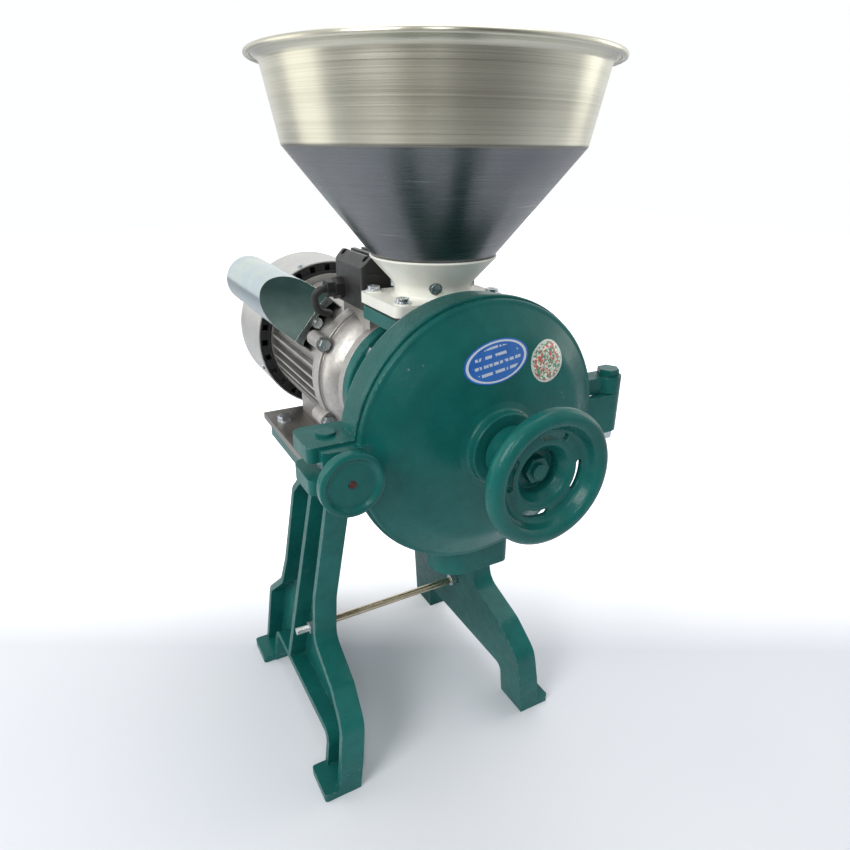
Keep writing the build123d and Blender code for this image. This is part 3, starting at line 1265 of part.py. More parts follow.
def clamp_knob():
    """Round knob with a raised rim, screwed on the bolt by its hub."""
    step = KNOB_BACK_Y - KNOB_HUB_L
    knob = turned_y([
        (0, KNOB_BACK_Y, 0),
        (KNOB_HUB_R, KNOB_BACK_Y, 1),
        (KNOB_HUB_R, step, 2),
        (KNOB_R - 3, step, 2),
        (KNOB_R, step - 4, 3),
        (KNOB_R, step - KNOB_T + 1, 1.5),
        (KNOB_R - 3.5, step - KNOB_T, 2),
        (KNOB_R - 7, KNOB_FACE_Y, 3),
        (0, KNOB_FACE_Y, 0),
    ], CLAMP_X, CLAMP_Z)
    depth = CLAMP_BOLT_END + 2
    knob -= rod_y(CLAMP_BOLT_R + THREAD_PLAY, KNOB_BACK_Y - depth, KNOB_BACK_Y + 1, CLAMP_X, CLAMP_Z)
    return knob - rod_y(PLUG_R + FIT, KNOB_FACE_Y - 1, KNOB_FACE_Y + 3, CLAMP_X, CLAMP_Z)


def clamp_knob_plug():
    plug = rod_y(PLUG_R, KNOB_FACE_Y - 0.8, KNOB_FACE_Y + 3, CLAMP_X, CLAMP_Z)
    return fillet(plug.edges().filter_by(GeomType.CIRCLE).sort_by(Axis.Y)[:1], 0.7)


# ---- neck and hopper ----------------------------------------------------------------------------
def cone_r(z):
    """Outer radius of the hopper cone at a height."""
    return CONE_FOOT_R + (z - CONE_FOOT_Z) * (BOWL_FOOT_R - CONE_FOOT_R) / (BOWL_FOOT_Z - CONE_FOOT_Z)


def spigot_r():
    return NECK_BORE_R + HOPPER_SHEET


def neck_gasket():
    gasket = neck_plate(2, SEAT_Z, FLANGE_Z) - rod_z(NECK_BORE_R, SEAT_Z - 1, FLANGE_Z + 1, 0, HOPPER_Y)
    for x, y in neck_bolt_places():
        gasket -= rod_z(NECK_BOLT_R + 0.4, SEAT_Z - 1, FLANGE_Z + 1, x, y)
    return gasket


def feed_neck():
    """White moulded neck: a flange, a waist and a mouth that follows the foot of the hopper."""
    mouth = cone_r(NECK_MOUTH_Z) + FIT
    seat_step = 0.4
    neck = neck_plate(0, FLANGE_Z, FLANGE_TOP_Z)
    neck += turned_z([
        (0, FLANGE_Z, 0),
        (NECK_WAIST_R + 4, FLANGE_TOP_Z, 0),
        (NECK_WAIST_R, FLANGE_TOP_Z + 1.5, 2),
        (NECK_WAIST_R, NECK_WAIST_Z, 10),
        (mouth + NECK_LIP, NECK_MOUTH_Z, 1),
        (mouth, NECK_MOUTH_Z, 0),
        (0, NECK_MOUTH_Z, 0),
    ], 0, HOPPER_Y)
    neck -= turned_z([
        (0, SPIGOT_END_Z, 0),
        (spigot_r() + FIT, SPIGOT_END_Z, 0),
        (spigot_r() + FIT, SPIGOT_Z - seat_step, 3),
        (CONE_FOOT_R + FIT, CONE_FOOT_Z - seat_step, 0),
        (cone_r(NECK_MOUTH_Z + 4) + FIT, NECK_MOUTH_Z + 4, 0),
        (0, NECK_MOUTH_Z + 4, 0),
    ], 0, HOPPER_Y)
    neck -= rod_z(NECK_BORE_R, FLANGE_Z - 1, SPIGOT_END_Z + 1, 0, HOPPER_Y)
    for x, y in neck_bolt_places():
        neck += rod_z(2.4 * NECK_BOLT_R, FLANGE_TOP_Z - 1, FLANGE_TOP_Z + 1.2, x, y)
        neck -= rod_z(NECK_BOLT_R + FIT, FLANGE_Z - 1, FLANGE_TOP_Z + 2, x, y)
    for place in hopper_screw_places():
        neck -= place * Pos(0, 0, 5) * Cylinder(HOPPER_SCREW_R + FIT, 20)
        neck -= place * Pos(0, 0, hopper_screw_reach() + 10) * Cylinder(2.7 * HOPPER_SCREW_R, 20)
    return neck


def neck_bolts():
    seat = FLANGE_TOP_Z + 1.2
    bolts = []
    for x, y in neck_bolt_places():
        bolt = rod_z(NECK_BOLT_R, SEAT_Z - SEAT_FLANGE_T + 2, seat + 1, x, y)
        bolt += rod_z(2.2 * NECK_BOLT_R, seat, seat + 1, x, y)
        head = rod_z(1.8 * NECK_BOLT_R, seat + 0.8, seat + 3.8, x, y)
        head -= block(x - 4, x + 4, y - 0.6, y + 0.6, seat + 2.6, seat + 5)
        head -= block(x - 0.6, x + 0.6, y - 4, y + 4, seat + 2.6, seat + 5)
        bolts.append(bolt + head)
    return group(bolts)


def hopper_screw_places():
    """Frames of the screws round the waist, each looking outward from inside the outlet tube."""
    places = []
    for index in range(HOPPER_SCREWS):
        angle = HOPPER_SCREW_ANGLE + index * 360 / HOPPER_SCREWS
        places.append(Pos(0, HOPPER_Y, HOPPER_SCREW_Z) * Rot(0, 0, angle) * Rot(0, 90, 0)
                      * Pos(0, 0, spigot_r() - HOPPER_SHEET - 0.6))
    return places


def hopper_screw_reach():
    """From the inner end of a screw to the flat that its washer sits on."""
    return NECK_WAIST_R - spigot_r() + HOPPER_SHEET + 0.6


def hopper_screws():
    reach = hopper_screw_reach()
    screws = []
    for place in hopper_screw_places():
        shank = Pos(0, 0, (reach + 1) / 2) * Cylinder(HOPPER_SCREW_R, reach + 1)
        washer = Pos(0, 0, reach + 0.5) * Cylinder(2.5 * HOPPER_SCREW_R, 1)
        head = Pos(0, 0, reach + 2) * Cylinder(1.9 * HOPPER_SCREW_R, 2.2)
        screws.append(place * (shank + washer + head))
    return group(screws)


def hopper():
    """Spun sheet hopper: outlet tube, cone, bowl and a flared lip with a rolled bead."""
    line = [
        (RIM_R - 1.5 * RIM_BEAD_R, RIM_Z - RIM_BEAD_R, 0),
        (BOWL_TOP_R, BOWL_TOP_Z, 5),
        (BOWL_FOOT_R, BOWL_FOOT_Z, 3),
        (CONE_FOOT_R, CONE_FOOT_Z, 2),
        (spigot_r(), SPIGOT_Z, 2),
        (spigot_r(), SPIGOT_END_Z, 0),
    ]
    bowl = turned_z(sheet_outline(line, -HOPPER_SHEET), 0, HOPPER_Y)
    bead = Pos(0, HOPPER_Y, RIM_Z - RIM_BEAD_R) * Torus(RIM_R - RIM_BEAD_R, RIM_BEAD_R)
    bowl += bead
    for place in hopper_screw_places():
        bowl -= place * Pos(0, 0, 2) * Cylinder(HOPPER_SCREW_R + FIT, 8)
    return bowl


# ---- every node ---------------------------------------------------------------------------------
right_frame = leg_frame()

nodes = {
    "right_leg_frame": right_frame,
    "left_leg_frame": mirror(right_frame, Plane.YZ),
    "tie_rod": tie_rod(),
    "tie_rod_nuts": tie_rod_nuts(),
    "motor_base_plate": motor_base_plate(),
    "base_plate_bolts": base_plate_bolts(),
    "base_plate_nuts": base_plate_nuts(),
    "motor_foot_screws": motor_foot_screws(),
    "motor_shell": motor_shell(),
    "front_end_bell": front_end_bell(),
    "rear_end_bell": rear_end_bell(),
    "motor_tie_bolts": motor_tie_bolts(),
    "stator_core": stator_core(),
    "stator_windings": stator_windings(),
    "rotor_core": rotor_core(),
    "motor_shaft": motor_shaft(),
    "front_bearing": bearing(MOTOR_FACE_Y + 6),
    "rear_bearing": bearing(SHELL_BACK_Y + 8),
    "cooling_fan": cooling_fan(),
    "air_guide_ring": air_guide_ring(),
    "fan_cowl": fan_cowl(),
    "cowl_screws": cowl_screws(),
    "terminal_box": terminal_box(),
    "terminal_box_lid": terminal_box_lid(),
    "terminal_lid_screws": terminal_lid_screws(),
    "terminal_board": terminal_board(),
    "cable_glands": cable_glands(),
    "run_capacitor": run_capacitor(),
    "capacitor_cover": capacitor_cover(),
    "capacitor_cover_screw": capacitor_cover_screw(),
    "capacitor_lead": capacitor_lead(),
    "mill_housing": mill_housing(),
    "housing_bolts": housing_bolts(),
    "shaft_seal": shaft_seal(),
    "feed_screw": feed_screw(),
    "fixed_burr": fixed_burr(),
    "fixed_burr_screws": fixed_burr_screws(),
    "rotor_disc": rotor_disc(),
    "rotating_burr": rotating_burr(),
    "rotating_burr_screws": rotating_burr_screws(),
    "front_cover": front_cover(),
    "rating_plate": rating_plate(),
    "inspection_seal": inspection_seal(),
    "hinge_pin": hinge_pin(),
    "hinge_pin_nut": hinge_pin_nut(),
    "thrust_cap": thrust_cap(),
    "adjusting_spindle": adjusting_spindle(),
    "handwheel": handwheel(),
    "handwheel_nut": handwheel_nut(),
    "clamp_pivot_pin": clamp_pivot_pin(),
    "clamp_bolt": clamp_bolt(),
    "clamp_washer": clamp_washer(),
    "clamp_knob": clamp_knob(),
    "clamp_knob_plug": clamp_knob_plug(),
    "neck_gasket": neck_gasket(),
    "feed_neck": feed_neck(),
    "neck_bolts": neck_bolts(),
    "hopper": hopper(),
    "hopper_screws": hopper_screws(),
}

os.makedirs("parts", exist_ok=True)
for name, shape in nodes.items():
    export_step(shape, f"parts/{name}.step")
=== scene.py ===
import math

import bpy
from mathutils import Euler, Matrix, Vector

# Electric grain mill. Metres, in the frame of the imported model: +Z up, the hand wheel towards -Y.

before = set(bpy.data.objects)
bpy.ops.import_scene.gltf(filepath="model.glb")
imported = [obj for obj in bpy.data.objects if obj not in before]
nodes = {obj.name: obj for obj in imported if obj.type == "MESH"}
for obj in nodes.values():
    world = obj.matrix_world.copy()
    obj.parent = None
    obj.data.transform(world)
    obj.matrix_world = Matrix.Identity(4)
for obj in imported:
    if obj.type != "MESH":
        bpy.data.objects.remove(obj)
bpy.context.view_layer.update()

AXIS_Z = 0.392          # height of the shaft
HOPPER_Y = -0.084       # upright axis of the hopper
CREASE_Z = 0.6045       # between bowl and cone
ROD_THREAD_X = 0.080    # where the threads of the tie rod start

CAP_TURN = math.radians(140.0)              # place of the capacitor cover round the shaft
SLOPE_TILT = math.atan2(0.058, 0.039)       # its sloping front: length along the shaft over height
SLOPE_NORMAL = (math.cos(CAP_TURN) * math.sin(SLOPE_TILT), -math.cos(SLOPE_TILT),
                math.sin(CAP_TURN) * math.sin(SLOPE_TILT))

PLATE_CENTRE = (-0.003, 0.0, AXIS_Z + 0.067)
PLATE_HALF = (0.029, 0.016)
PLATE_LEAN = math.radians(8.0)
SEAL_CENTRE = (0.045, 0.0, AXIS_Z + 0.060)
SEAL_RIM_R = 0.0150     # inside of its pale rim

ENAMEL_LIGHT = (0.010, 0.140, 0.128)
ENAMEL_DARK = (0.005, 0.088, 0.082)

FLOOR_HALF = 5.0
FLOOR_Z = -0.0005
MIDDLE = (0.0, -0.02, 0.36)                 # where the lamps aim

HEADING = math.radians(28.9)                # of the camera, from +Y towards +X
DIP = math.radians(23.3)
TURN = math.radians(0.5)
CAMERA_PLACE = (-0.271, -0.564, 0.605)
SENSOR = 36.0
LENS = SENSOR * 649.0 / 850.0


# ---- node helpers -------------------------------------------------------------------------------
class Look:
    """A material being built: its node tree, its shader and a few short ways to add nodes."""

    def __init__(self, name):
        self.material = bpy.data.materials.new(name)
        self.material.use_nodes = True
        self.tree = self.material.node_tree
        self.tree.nodes.clear()
        self.shader = self.add("ShaderNodeBsdfPrincipled")
        out = self.add("ShaderNodeOutputMaterial")
        self.join(self.shader.outputs["BSDF"], out.inputs["Surface"])
        coordinates = self.add("ShaderNodeTexCoord")
        self.place = coordinates.outputs["Object"]

    def add(self, kind, **values):
        made = self.tree.nodes.new(kind)
        for key, value in values.items():
            setattr(made, key, value)
        return made

    def join(self, out, into):
        self.tree.links.new(out, into)

    def put(self, socket, value):
        """Joins an output to a socket, or sets a plain value on it."""
        if isinstance(value, bpy.types.NodeSocket):
            self.join(value, socket)
        else:
            socket.default_value = value

    def base(self, **values):
        """Plain values on the shader's own sockets."""
        for key, value in values.items():
            self.shader.inputs[key.replace("_", " ")].default_value = value

    def scaled(self, x, y, z, source=None):
        made = self.add("ShaderNodeVectorMath", operation="MULTIPLY")
        self.put(made.inputs[0], source or self.place)
        made.inputs[1].default_value = (x, y, z)
        return made.outputs["Vector"]

    def offset(self, centre):
        """Place as seen from a centre."""
        made = self.add("ShaderNodeVectorMath", operation="SUBTRACT")
        self.join(self.place, made.inputs[0])
        made.inputs[1].default_value = centre
        return made.outputs["Vector"]

    def split(self, source=None):
        """The outputs X, Y and Z of a place."""
        made = self.add("ShaderNodeSeparateXYZ")
        self.join(source or self.place, made.inputs["Vector"])
        return made.outputs

    def along(self, source, direction):
        """How far a place or a normal reaches along a direction."""
        made = self.add("ShaderNodeVectorMath", operation="DOT_PRODUCT")
        self.join(source, made.inputs[0])
        self.put(made.inputs[1], direction)
        return made.outputs["Value"]

    def noise(self, scale, detail=2.0, rough=0.5, place=None, distortion=0.0):
        made = self.add("ShaderNodeTexNoise")
        self.put(made.inputs["Vector"], place or self.place)
        made.inputs["Scale"].default_value = scale
        made.inputs["Detail"].default_value = detail
        made.inputs["Roughness"].default_value = rough
        made.inputs["Distortion"].default_value = distortion
        return made.outputs["Fac"]

    def cells(self, scale, feature="F1", place=None):
        made = self.add("ShaderNodeTexVoronoi", feature=feature)
        self.put(made.inputs["Vector"], place or self.place)
        made.inputs["Scale"].default_value = scale
        return made

    def ramp(self, value, low, high, to_low=0.0, to_high=1.0):
        made = self.add("ShaderNodeMapRange")
        self.put(made.inputs["Value"], value)
        made.inputs["From Min"].default_value = low
        made.inputs["From Max"].default_value = high
        made.inputs["To Min"].default_value = to_low
        made.inputs["To Max"].default_value = to_high
        return made.outputs["Result"]

    def maths(self, operation, a, b=0.0):
        made = self.add("ShaderNodeMath", operation=operation)
        self.put(made.inputs[0], a)
        self.put(made.inputs[1], b)
        return made.outputs["Value"]

    def mix(self, factor, a, b):
        made = self.add("ShaderNodeMix", data_type="RGBA")
        self.put(made.inputs["Factor"], factor)
        self.put(made.inputs["A"], a if isinstance(a, bpy.types.NodeSocket) else (*a, 1.0))
        self.put(made.inputs["B"], b if isinstance(b, bpy.types.NodeSocket) else (*b, 1.0))
        return made.outputs["Result"]

    def bump(self, height, distance, strength=1.0, after=None):
        made = self.add("ShaderNodeBump")
        self.put(made.inputs["Height"], height)
        made.inputs["Distance"].default_value = distance
        made.inputs["Strength"].default_value = strength
        if after is not None:
            self.join(after, made.inputs["Normal"])
        return made.outputs["Normal"]

    def rounded(self, radius):
        """Normal with the edges rounded off."""
        made = self.add("ShaderNodeBevel", samples=4)
        made.inputs["Radius"].default_value = radius
        return made.outputs["Normal"]

    def edges(self, radius):
        """About 1 on sharp edges and 0 on flat and gently curved faces."""
        soft = self.rounded(radius)
        geometry = self.add("ShaderNodeNewGeometry")
        return self.ramp(self.along(soft, geometry.outputs["Normal"]), 0.99, 0.80)

    def colour(self, value):
        self.put(self.shader.inputs["Base Color"], value)

    def rough(self, value):
        self.put(self.shader.inputs["Roughness"], value)

    def normal(self, value):
        self.put(self.shader.inputs["Normal"], value)


# ---- materials ----------------------------------------------------------------------------------
def enamel(name, light, dark, pits, grain, edge_wear, shine):
    """Gloss enamel brushed over a rough casting, thin and chipped on its edges."""
    look = Look(name)
    broad = look.noise(14.0, 3.0, 0.6)
    fine = look.noise(120.0, 3.0, 0.6)
    colour = look.mix(look.ramp(broad, 0.3, 0.7), dark, light)
    colour = look.mix(look.ramp(fine, 0.42, 0.75, 0.0, 0.22), colour, [0.6 * v for v in dark])
    dust = look.noise(38.0, 6.0, 0.7)
    colour = look.mix(look.ramp(dust, 0.60, 0.80, 0.0, 0.12 * grain), colour, (0.16, 0.30, 0.28))
    worn = look.maths("MULTIPLY", look.edges(0.0012), look.ramp(look.noise(160.0, 4.0, 0.7), 0.50, 0.62))
    worn = look.maths("MULTIPLY", worn, edge_wear)
    chip_field = look.cells(95.0)
    speck = look.ramp(chip_field.outputs["Distance"], 0.10, 0.05)
    speck = look.maths("MULTIPLY", speck, look.ramp(look.noise(22.0, 2.0), 0.60, 0.68))
    chips = look.maths("MAXIMUM", worn, look.maths("MULTIPLY", speck, 0.7 * edge_wear))
    colour = look.mix(chips, colour, (0.34, 0.40, 0.39))
    look.colour(colour)
    look.rough(look.ramp(look.noise(60.0, 4.0, 0.65), 0.3, 0.75, shine, shine + 0.16))
    look.base(IOR=1.5, Specular_IOR_Level=0.17, Coat_Weight=0.12, Coat_Roughness=0.10)
    lumps = look.bump(look.noise(55.0, 2.0, 0.5), 0.0009 * grain, 0.6, look.rounded(0.0010))
    skin = look.bump(look.noise(420.0, 2.0, 0.6), 0.00022 * grain, 0.8, lumps)
    pit = look.ramp(look.cells(210.0).outputs["Distance"], 0.05, 0.30)
    look.normal(look.bump(pit, 0.00030 * pits, 0.7, skin))
    return look.material


def spun_steel():
    """Spun and brushed sheet: fine lines run round the olive grey bowl and the bluer, smoother cone,
    whose colour is darkened as a painted reflection of the shaded floor beneath.
    """
    look = Look("spun_steel")
    middle = look.offset((0.0, HOPPER_Y, 0.0))
    height = look.split()["Z"]
    cone = look.ramp(height, CREASE_Z + 0.0015, CREASE_Z - 0.0015)
    lines = look.noise(1.0, 5.0, 0.75, look.scaled(3.0, 3.0, 1700.0))
    bands = look.noise(1.0, 3.0, 0.6, look.scaled(2.0, 2.0, 130.0))
    clouds = look.noise(9.0, 3.0, 0.6)
    colour = look.mix(look.ramp(lines, 0.30, 0.70), (0.49, 0.48, 0.40), (0.73, 0.715, 0.61))
    colour = look.mix(look.ramp(bands, 0.45, 0.75, 0.0, 0.45), colour, (0.36, 0.35, 0.29))
    # Painted shade: the cone's colour is kept dark to stand in for the shaded floor it reflects; its line
    # grain is real.
    painted_dark_cone = look.mix(look.ramp(clouds, 0.3, 0.7), (0.155, 0.165, 0.175), (0.23, 0.24, 0.25))
    painted_dark_cone = look.mix(look.ramp(lines, 0.3, 0.7, 0.0, 0.35), painted_dark_cone, (0.125, 0.135, 0.145))
    colour = look.mix(cone, colour, painted_dark_cone)
    scratch = look.noise(1.0, 2.0, 0.5, look.scaled(7.0, 7.0, 620.0, middle))
    scratch = look.ramp(scratch, 0.70, 0.76, 0.0, 0.55)
    colour = look.mix(scratch, colour, (0.80, 0.78, 0.70))
    crease = look.ramp(look.maths("ABSOLUTE", look.maths("SUBTRACT", height, CREASE_Z)),
                       0.0022, 0.0006, 0.0, 0.55)
    look.colour(look.mix(crease, colour, (0.10, 0.10, 0.09)))
    grain = look.ramp(lines, 0.3, 0.7, 0.26, 0.40)
    look.rough(look.maths("SUBTRACT", grain, look.maths("MULTIPLY", cone, 0.04)))
    look.base(Metallic=1.0, Anisotropic=0.7, Anisotropic_Rotation=0.25)
    tangent = look.add("ShaderNodeTangent", direction_type="RADIAL", axis="Z")
    look.join(tangent.outputs["Tangent"], look.shader.inputs["Tangent"])
    fine = look.bump(lines, 0.00005, 0.5)
    look.normal(look.bump(look.noise(16.0, 1.0), 0.0010, 0.20, fine))
    return look.material


def plain_metal(name, light, dark, low, high, metallic=1.0, brush=None, grain=0.00004):
    """Bare or plated metal: clouded tone, softened edges with a painted highlight on them, and a grain,
    drawn out to lines by brush.
    """
    look = Look(name)
    place = look.scaled(*brush) if brush else look.place
    fine = look.noise(1.0 if brush else 300.0, 4.0, 0.7, place)
    clouds = look.noise(45.0, 4.0, 0.65)
    tone = look.maths("ADD", look.maths("MULTIPLY", fine, 0.5), look.maths("MULTIPLY", clouds, 0.5))
    colour = look.mix(look.ramp(tone, 0.36, 0.64), dark, light)
    # Painted highlight: edges are coloured lighter than the lightest tone.
    look.colour(look.mix(look.edges(0.0006), colour, [min(1.0, 1.25 * v) for v in light]))
    look.rough(look.ramp(tone, 0.35, 0.65, low, high))
    look.base(Metallic=metallic)
    look.normal(look.bump(fine, grain, 0.7, look.rounded(0.0005)))
    return look.material


def cast_aluminium():
    """Die cast alloy: grey, slightly brown, sandy skin with flow marks, and painted shade between the
    fins where ambient occlusion is deep.
    """
    look = Look("cast_aluminium")
    skin = look.noise(260.0, 5.0, 0.7)
    flow = look.noise(18.0, 3.0, 0.6, None, 0.6)
    colour = look.mix(look.ramp(flow, 0.3, 0.7), (0.40, 0.385, 0.37), (0.58, 0.565, 0.55))
    colour = look.mix(look.ramp(skin, 0.45, 0.75, 0.0, 0.5), colour, (0.30, 0.285, 0.27))
    # Painted shade: the alloy is darkened where ambient occlusion finds it hemmed in, between the fins.
    shade = look.add("ShaderNodeAmbientOcclusion", samples=4)
    shade.inputs["Distance"].default_value = 0.012
    painted_fin_shade = look.ramp(shade.outputs["AO"], 0.25, 0.85, 0.75, 0.0)
    look.colour(look.mix(painted_fin_shade, colour, (0.12, 0.115, 0.11)))
    look.rough(look.ramp(skin, 0.3, 0.7, 0.34, 0.56))
    look.base(Metallic=0.85)
    sand = look.bump(skin, 0.00018, 0.7, look.rounded(0.0008))
    look.normal(look.bump(look.noise(70.0, 2.0), 0.0005, 0.4, sand))
    return look.material


def cover_zinc():
    """Bright zinc sheet, clouded blue and green. Its sloping front carries a painted reflection, dark
    green and paler at its foot, and its edges a painted highlight.
    """
    look = Look("cover_zinc")
    clouds = look.noise(22.0, 3.0, 0.6, None, 0.8)
    fine = look.noise(1.0, 4.0, 0.7, look.scaled(60.0, 9.0, 60.0))
    colour = look.mix(look.ramp(clouds, 0.32, 0.68), (0.50, 0.60, 0.68), (0.60, 0.70, 0.64))
    colour = look.mix(look.ramp(fine, 0.35, 0.75, 0.0, 0.35), colour, (0.38, 0.44, 0.50))
    # Painted reflection: the sloping front is coloured dark green, paler towards its foot, in place of
    # what it would reflect.
    geometry = look.add("ShaderNodeNewGeometry")
    slope = look.maths("GREATER_THAN", look.along(geometry.outputs["True Normal"], SLOPE_NORMAL), 0.985)
    low = look.ramp(look.maths("ADD", look.split()["Z"], look.maths("MULTIPLY", clouds, 0.012)),
                    0.475, 0.440)
    front = look.mix(low, (0.034, 0.070, 0.066), (0.14, 0.20, 0.185))
    colour = look.mix(slope, colour, front)
    # Painted highlight: the edges, the bead along the arch among them, are coloured nearly white.
    look.colour(look.mix(look.edges(0.0005), colour, (0.86, 0.92, 0.88)))
    tone = look.maths("ADD", look.maths("MULTIPLY", fine, 0.6), look.maths("MULTIPLY", clouds, 0.4))
    look.rough(look.ramp(tone, 0.3, 0.7, 0.13, 0.28))
    look.base(Metallic=1.0)
    look.normal(look.bump(fine, 0.00002, 0.5, look.rounded(0.0004)))
    return look.material


def rod_steel():
    """Yellow zinc rod with bare silver threads at its ends."""
    look = Look("rod_steel")
    ends = look.ramp(look.maths("ABSOLUTE", look.split()["X"]), ROD_THREAD_X, ROD_THREAD_X + 0.010)
    fine = look.noise(1.0, 3.0, 0.6, look.scaled(40.0, 600.0, 600.0))
    clouds = look.noise(30.0, 3.0, 0.6)
    yellow = look.mix(look.ramp(clouds, 0.35, 0.65), (0.50, 0.42, 0.30), (0.66, 0.58, 0.42))
    silver = look.mix(look.ramp(fine, 0.35, 0.65), (0.62, 0.66, 0.68), (0.80, 0.82, 0.82))
    look.colour(look.mix(ends, yellow, silver))
    look.rough(look.ramp(clouds, 0.3, 0.7, 0.20, 0.36))
    look.base(Metallic=1.0)
    thread = look.add("ShaderNodeTexWave", wave_type="BANDS", bands_direction="X")
    look.join(look.place, thread.inputs["Vector"])
    thread.inputs["Scale"].default_value = 320.0
    ridge = look.maths("MULTIPLY", thread.outputs["Fac"], ends)
    look.normal(look.bump(ridge, 0.0004, 0.8, look.bump(fine, 0.00003, 0.6)))
    return look.material


def moulded(name, light, dark, low, high, grain, scatter=0.0, edge=0.0006):
    """Moulded plastic or rubber with a fine grain."""
    look = Look(name)
    clouds = look.noise(26.0, 3.0, 0.6)
    grit = look.noise(620.0, 2.0, 0.6)
    colour = look.mix(look.ramp(clouds, 0.35, 0.7), dark, light)
    look.colour(look.mix(look.ramp(grit, 0.55, 0.8, 0.0, 0.3), colour, [0.75 * v for v in dark]))
    look.rough(look.ramp(look.noise(90.0, 3.0), 0.35, 0.7, low, high))
    if scatter:
        look.base(Subsurface_Weight=scatter, Subsurface_Scale=0.004)
    look.normal(look.bump(grit, grain, 0.6, look.rounded(edge)))
    return look.material


looks = {
    "cover_enamel": enamel("cover_enamel", ENAMEL_LIGHT, ENAMEL_DARK, 0.25, 0.45, 0.5, 0.20),
    "frame_enamel": enamel("frame_enamel", ENAMEL_LIGHT, ENAMEL_DARK, 0.9, 1.3, 0.6, 0.26),
    "wheel_enamel": enamel("wheel_enamel", ENAMEL_LIGHT, ENAMEL_DARK, 0.35, 0.7, 0.6, 0.20),
    "spun_steel": spun_steel(),
    "white_plastic": moulded("white_plastic", (0.86, 0.86, 0.81), (0.80, 0.80, 0.74), 0.28, 0.42,
                             0.00003, 0.08, 0.0012),
    "black_plastic": moulded("black_plastic", (0.022, 0.022, 0.024), (0.012, 0.012, 0.013), 0.30, 0.46,
                             0.00005, 0.0, 0.0009),
    "rubber": moulded("rubber", (0.030, 0.034, 0.034), (0.016, 0.018, 0.018), 0.45, 0.65, 0.00006),
    "cast_aluminium": cast_aluminium(),
    "cowl_paint": plain_metal("cowl_paint", (0.62, 0.62, 0.60), (0.50, 0.50, 0.485), 0.28, 0.42, 0.6),
    "zinc": plain_metal("zinc", (0.66, 0.70, 0.74), (0.46, 0.50, 0.54), 0.20, 0.38),
    "cover_zinc": cover_zinc(),
    "plate_steel": plain_metal("plate_steel", (0.34, 0.32, 0.30), (0.20, 0.19, 0.18), 0.34, 0.55, 0.9,
                               (500.0, 12.0, 12.0), 0.00005),
    "rod_steel": rod_steel(),
    "bright_steel": plain_metal("bright_steel", (0.72, 0.72, 0.71), (0.56, 0.56, 0.55), 0.18, 0.32),
    "burr_iron": plain_metal("burr_iron", (0.22, 0.22, 0.22), (0.12, 0.12, 0.12), 0.40, 0.62, 0.9,
                             None, 0.0001),
    "windings": plain_metal("windings", (0.52, 0.22, 0.09), (0.30, 0.11, 0.04), 0.30, 0.45, 0.6,
                            (40.0, 900.0, 40.0), 0.0002),
    "laminations": plain_metal("laminations", (0.34, 0.35, 0.37), (0.20, 0.21, 0.22), 0.38, 0.55, 0.9,
                               (20.0, 2000.0, 20.0), 0.00008),
    "red_plastic": moulded("red_plastic", (0.075, 0.010, 0.008), (0.035, 0.006, 0.005), 0.30, 0.45,
                           0.00003),
}

wearers = {
    "cover_enamel": ["front_cover"],
    "frame_enamel": ["right_leg_frame", "left_leg_frame", "mill_housing"],
    "wheel_enamel": ["handwheel", "clamp_knob", "handwheel_nut", "hinge_pin", "clamp_pivot_pin",
                     "adjusting_spindle"],
    "spun_steel": ["hopper"],
    "white_plastic": ["feed_neck"],
    "black_plastic": ["terminal_box", "terminal_box_lid", "cable_glands", "air_guide_ring",
                      "cooling_fan", "terminal_board"],
    "rubber": ["neck_gasket", "shaft_seal", "capacitor_lead"],
    "cast_aluminium": ["motor_shell", "front_end_bell", "rear_end_bell"],
    "cowl_paint": ["fan_cowl"],
    "cover_zinc": ["capacitor_cover"],
    "zinc": ["tie_rod_nuts", "base_plate_bolts", "base_plate_nuts", "motor_foot_screws",
             "motor_tie_bolts", "cowl_screws", "terminal_lid_screws", "housing_bolts",
             "fixed_burr_screws", "rotating_burr_screws", "hinge_pin_nut", "clamp_bolt",
             "clamp_washer", "neck_bolts", "hopper_screws", "capacitor_cover_screw"],
    "rod_steel": ["tie_rod"],
    "plate_steel": ["motor_base_plate"],
    "bright_steel": ["motor_shaft", "front_bearing", "rear_bearing", "feed_screw", "thrust_cap",
                     "run_capacitor"],
    "burr_iron": ["fixed_burr", "rotating_burr", "rotor_disc"],
    "windings": ["stator_windings"],
    "laminations": ["stator_core", "rotor_core"],
    "red_plastic": ["clamp_knob_plug"],
}


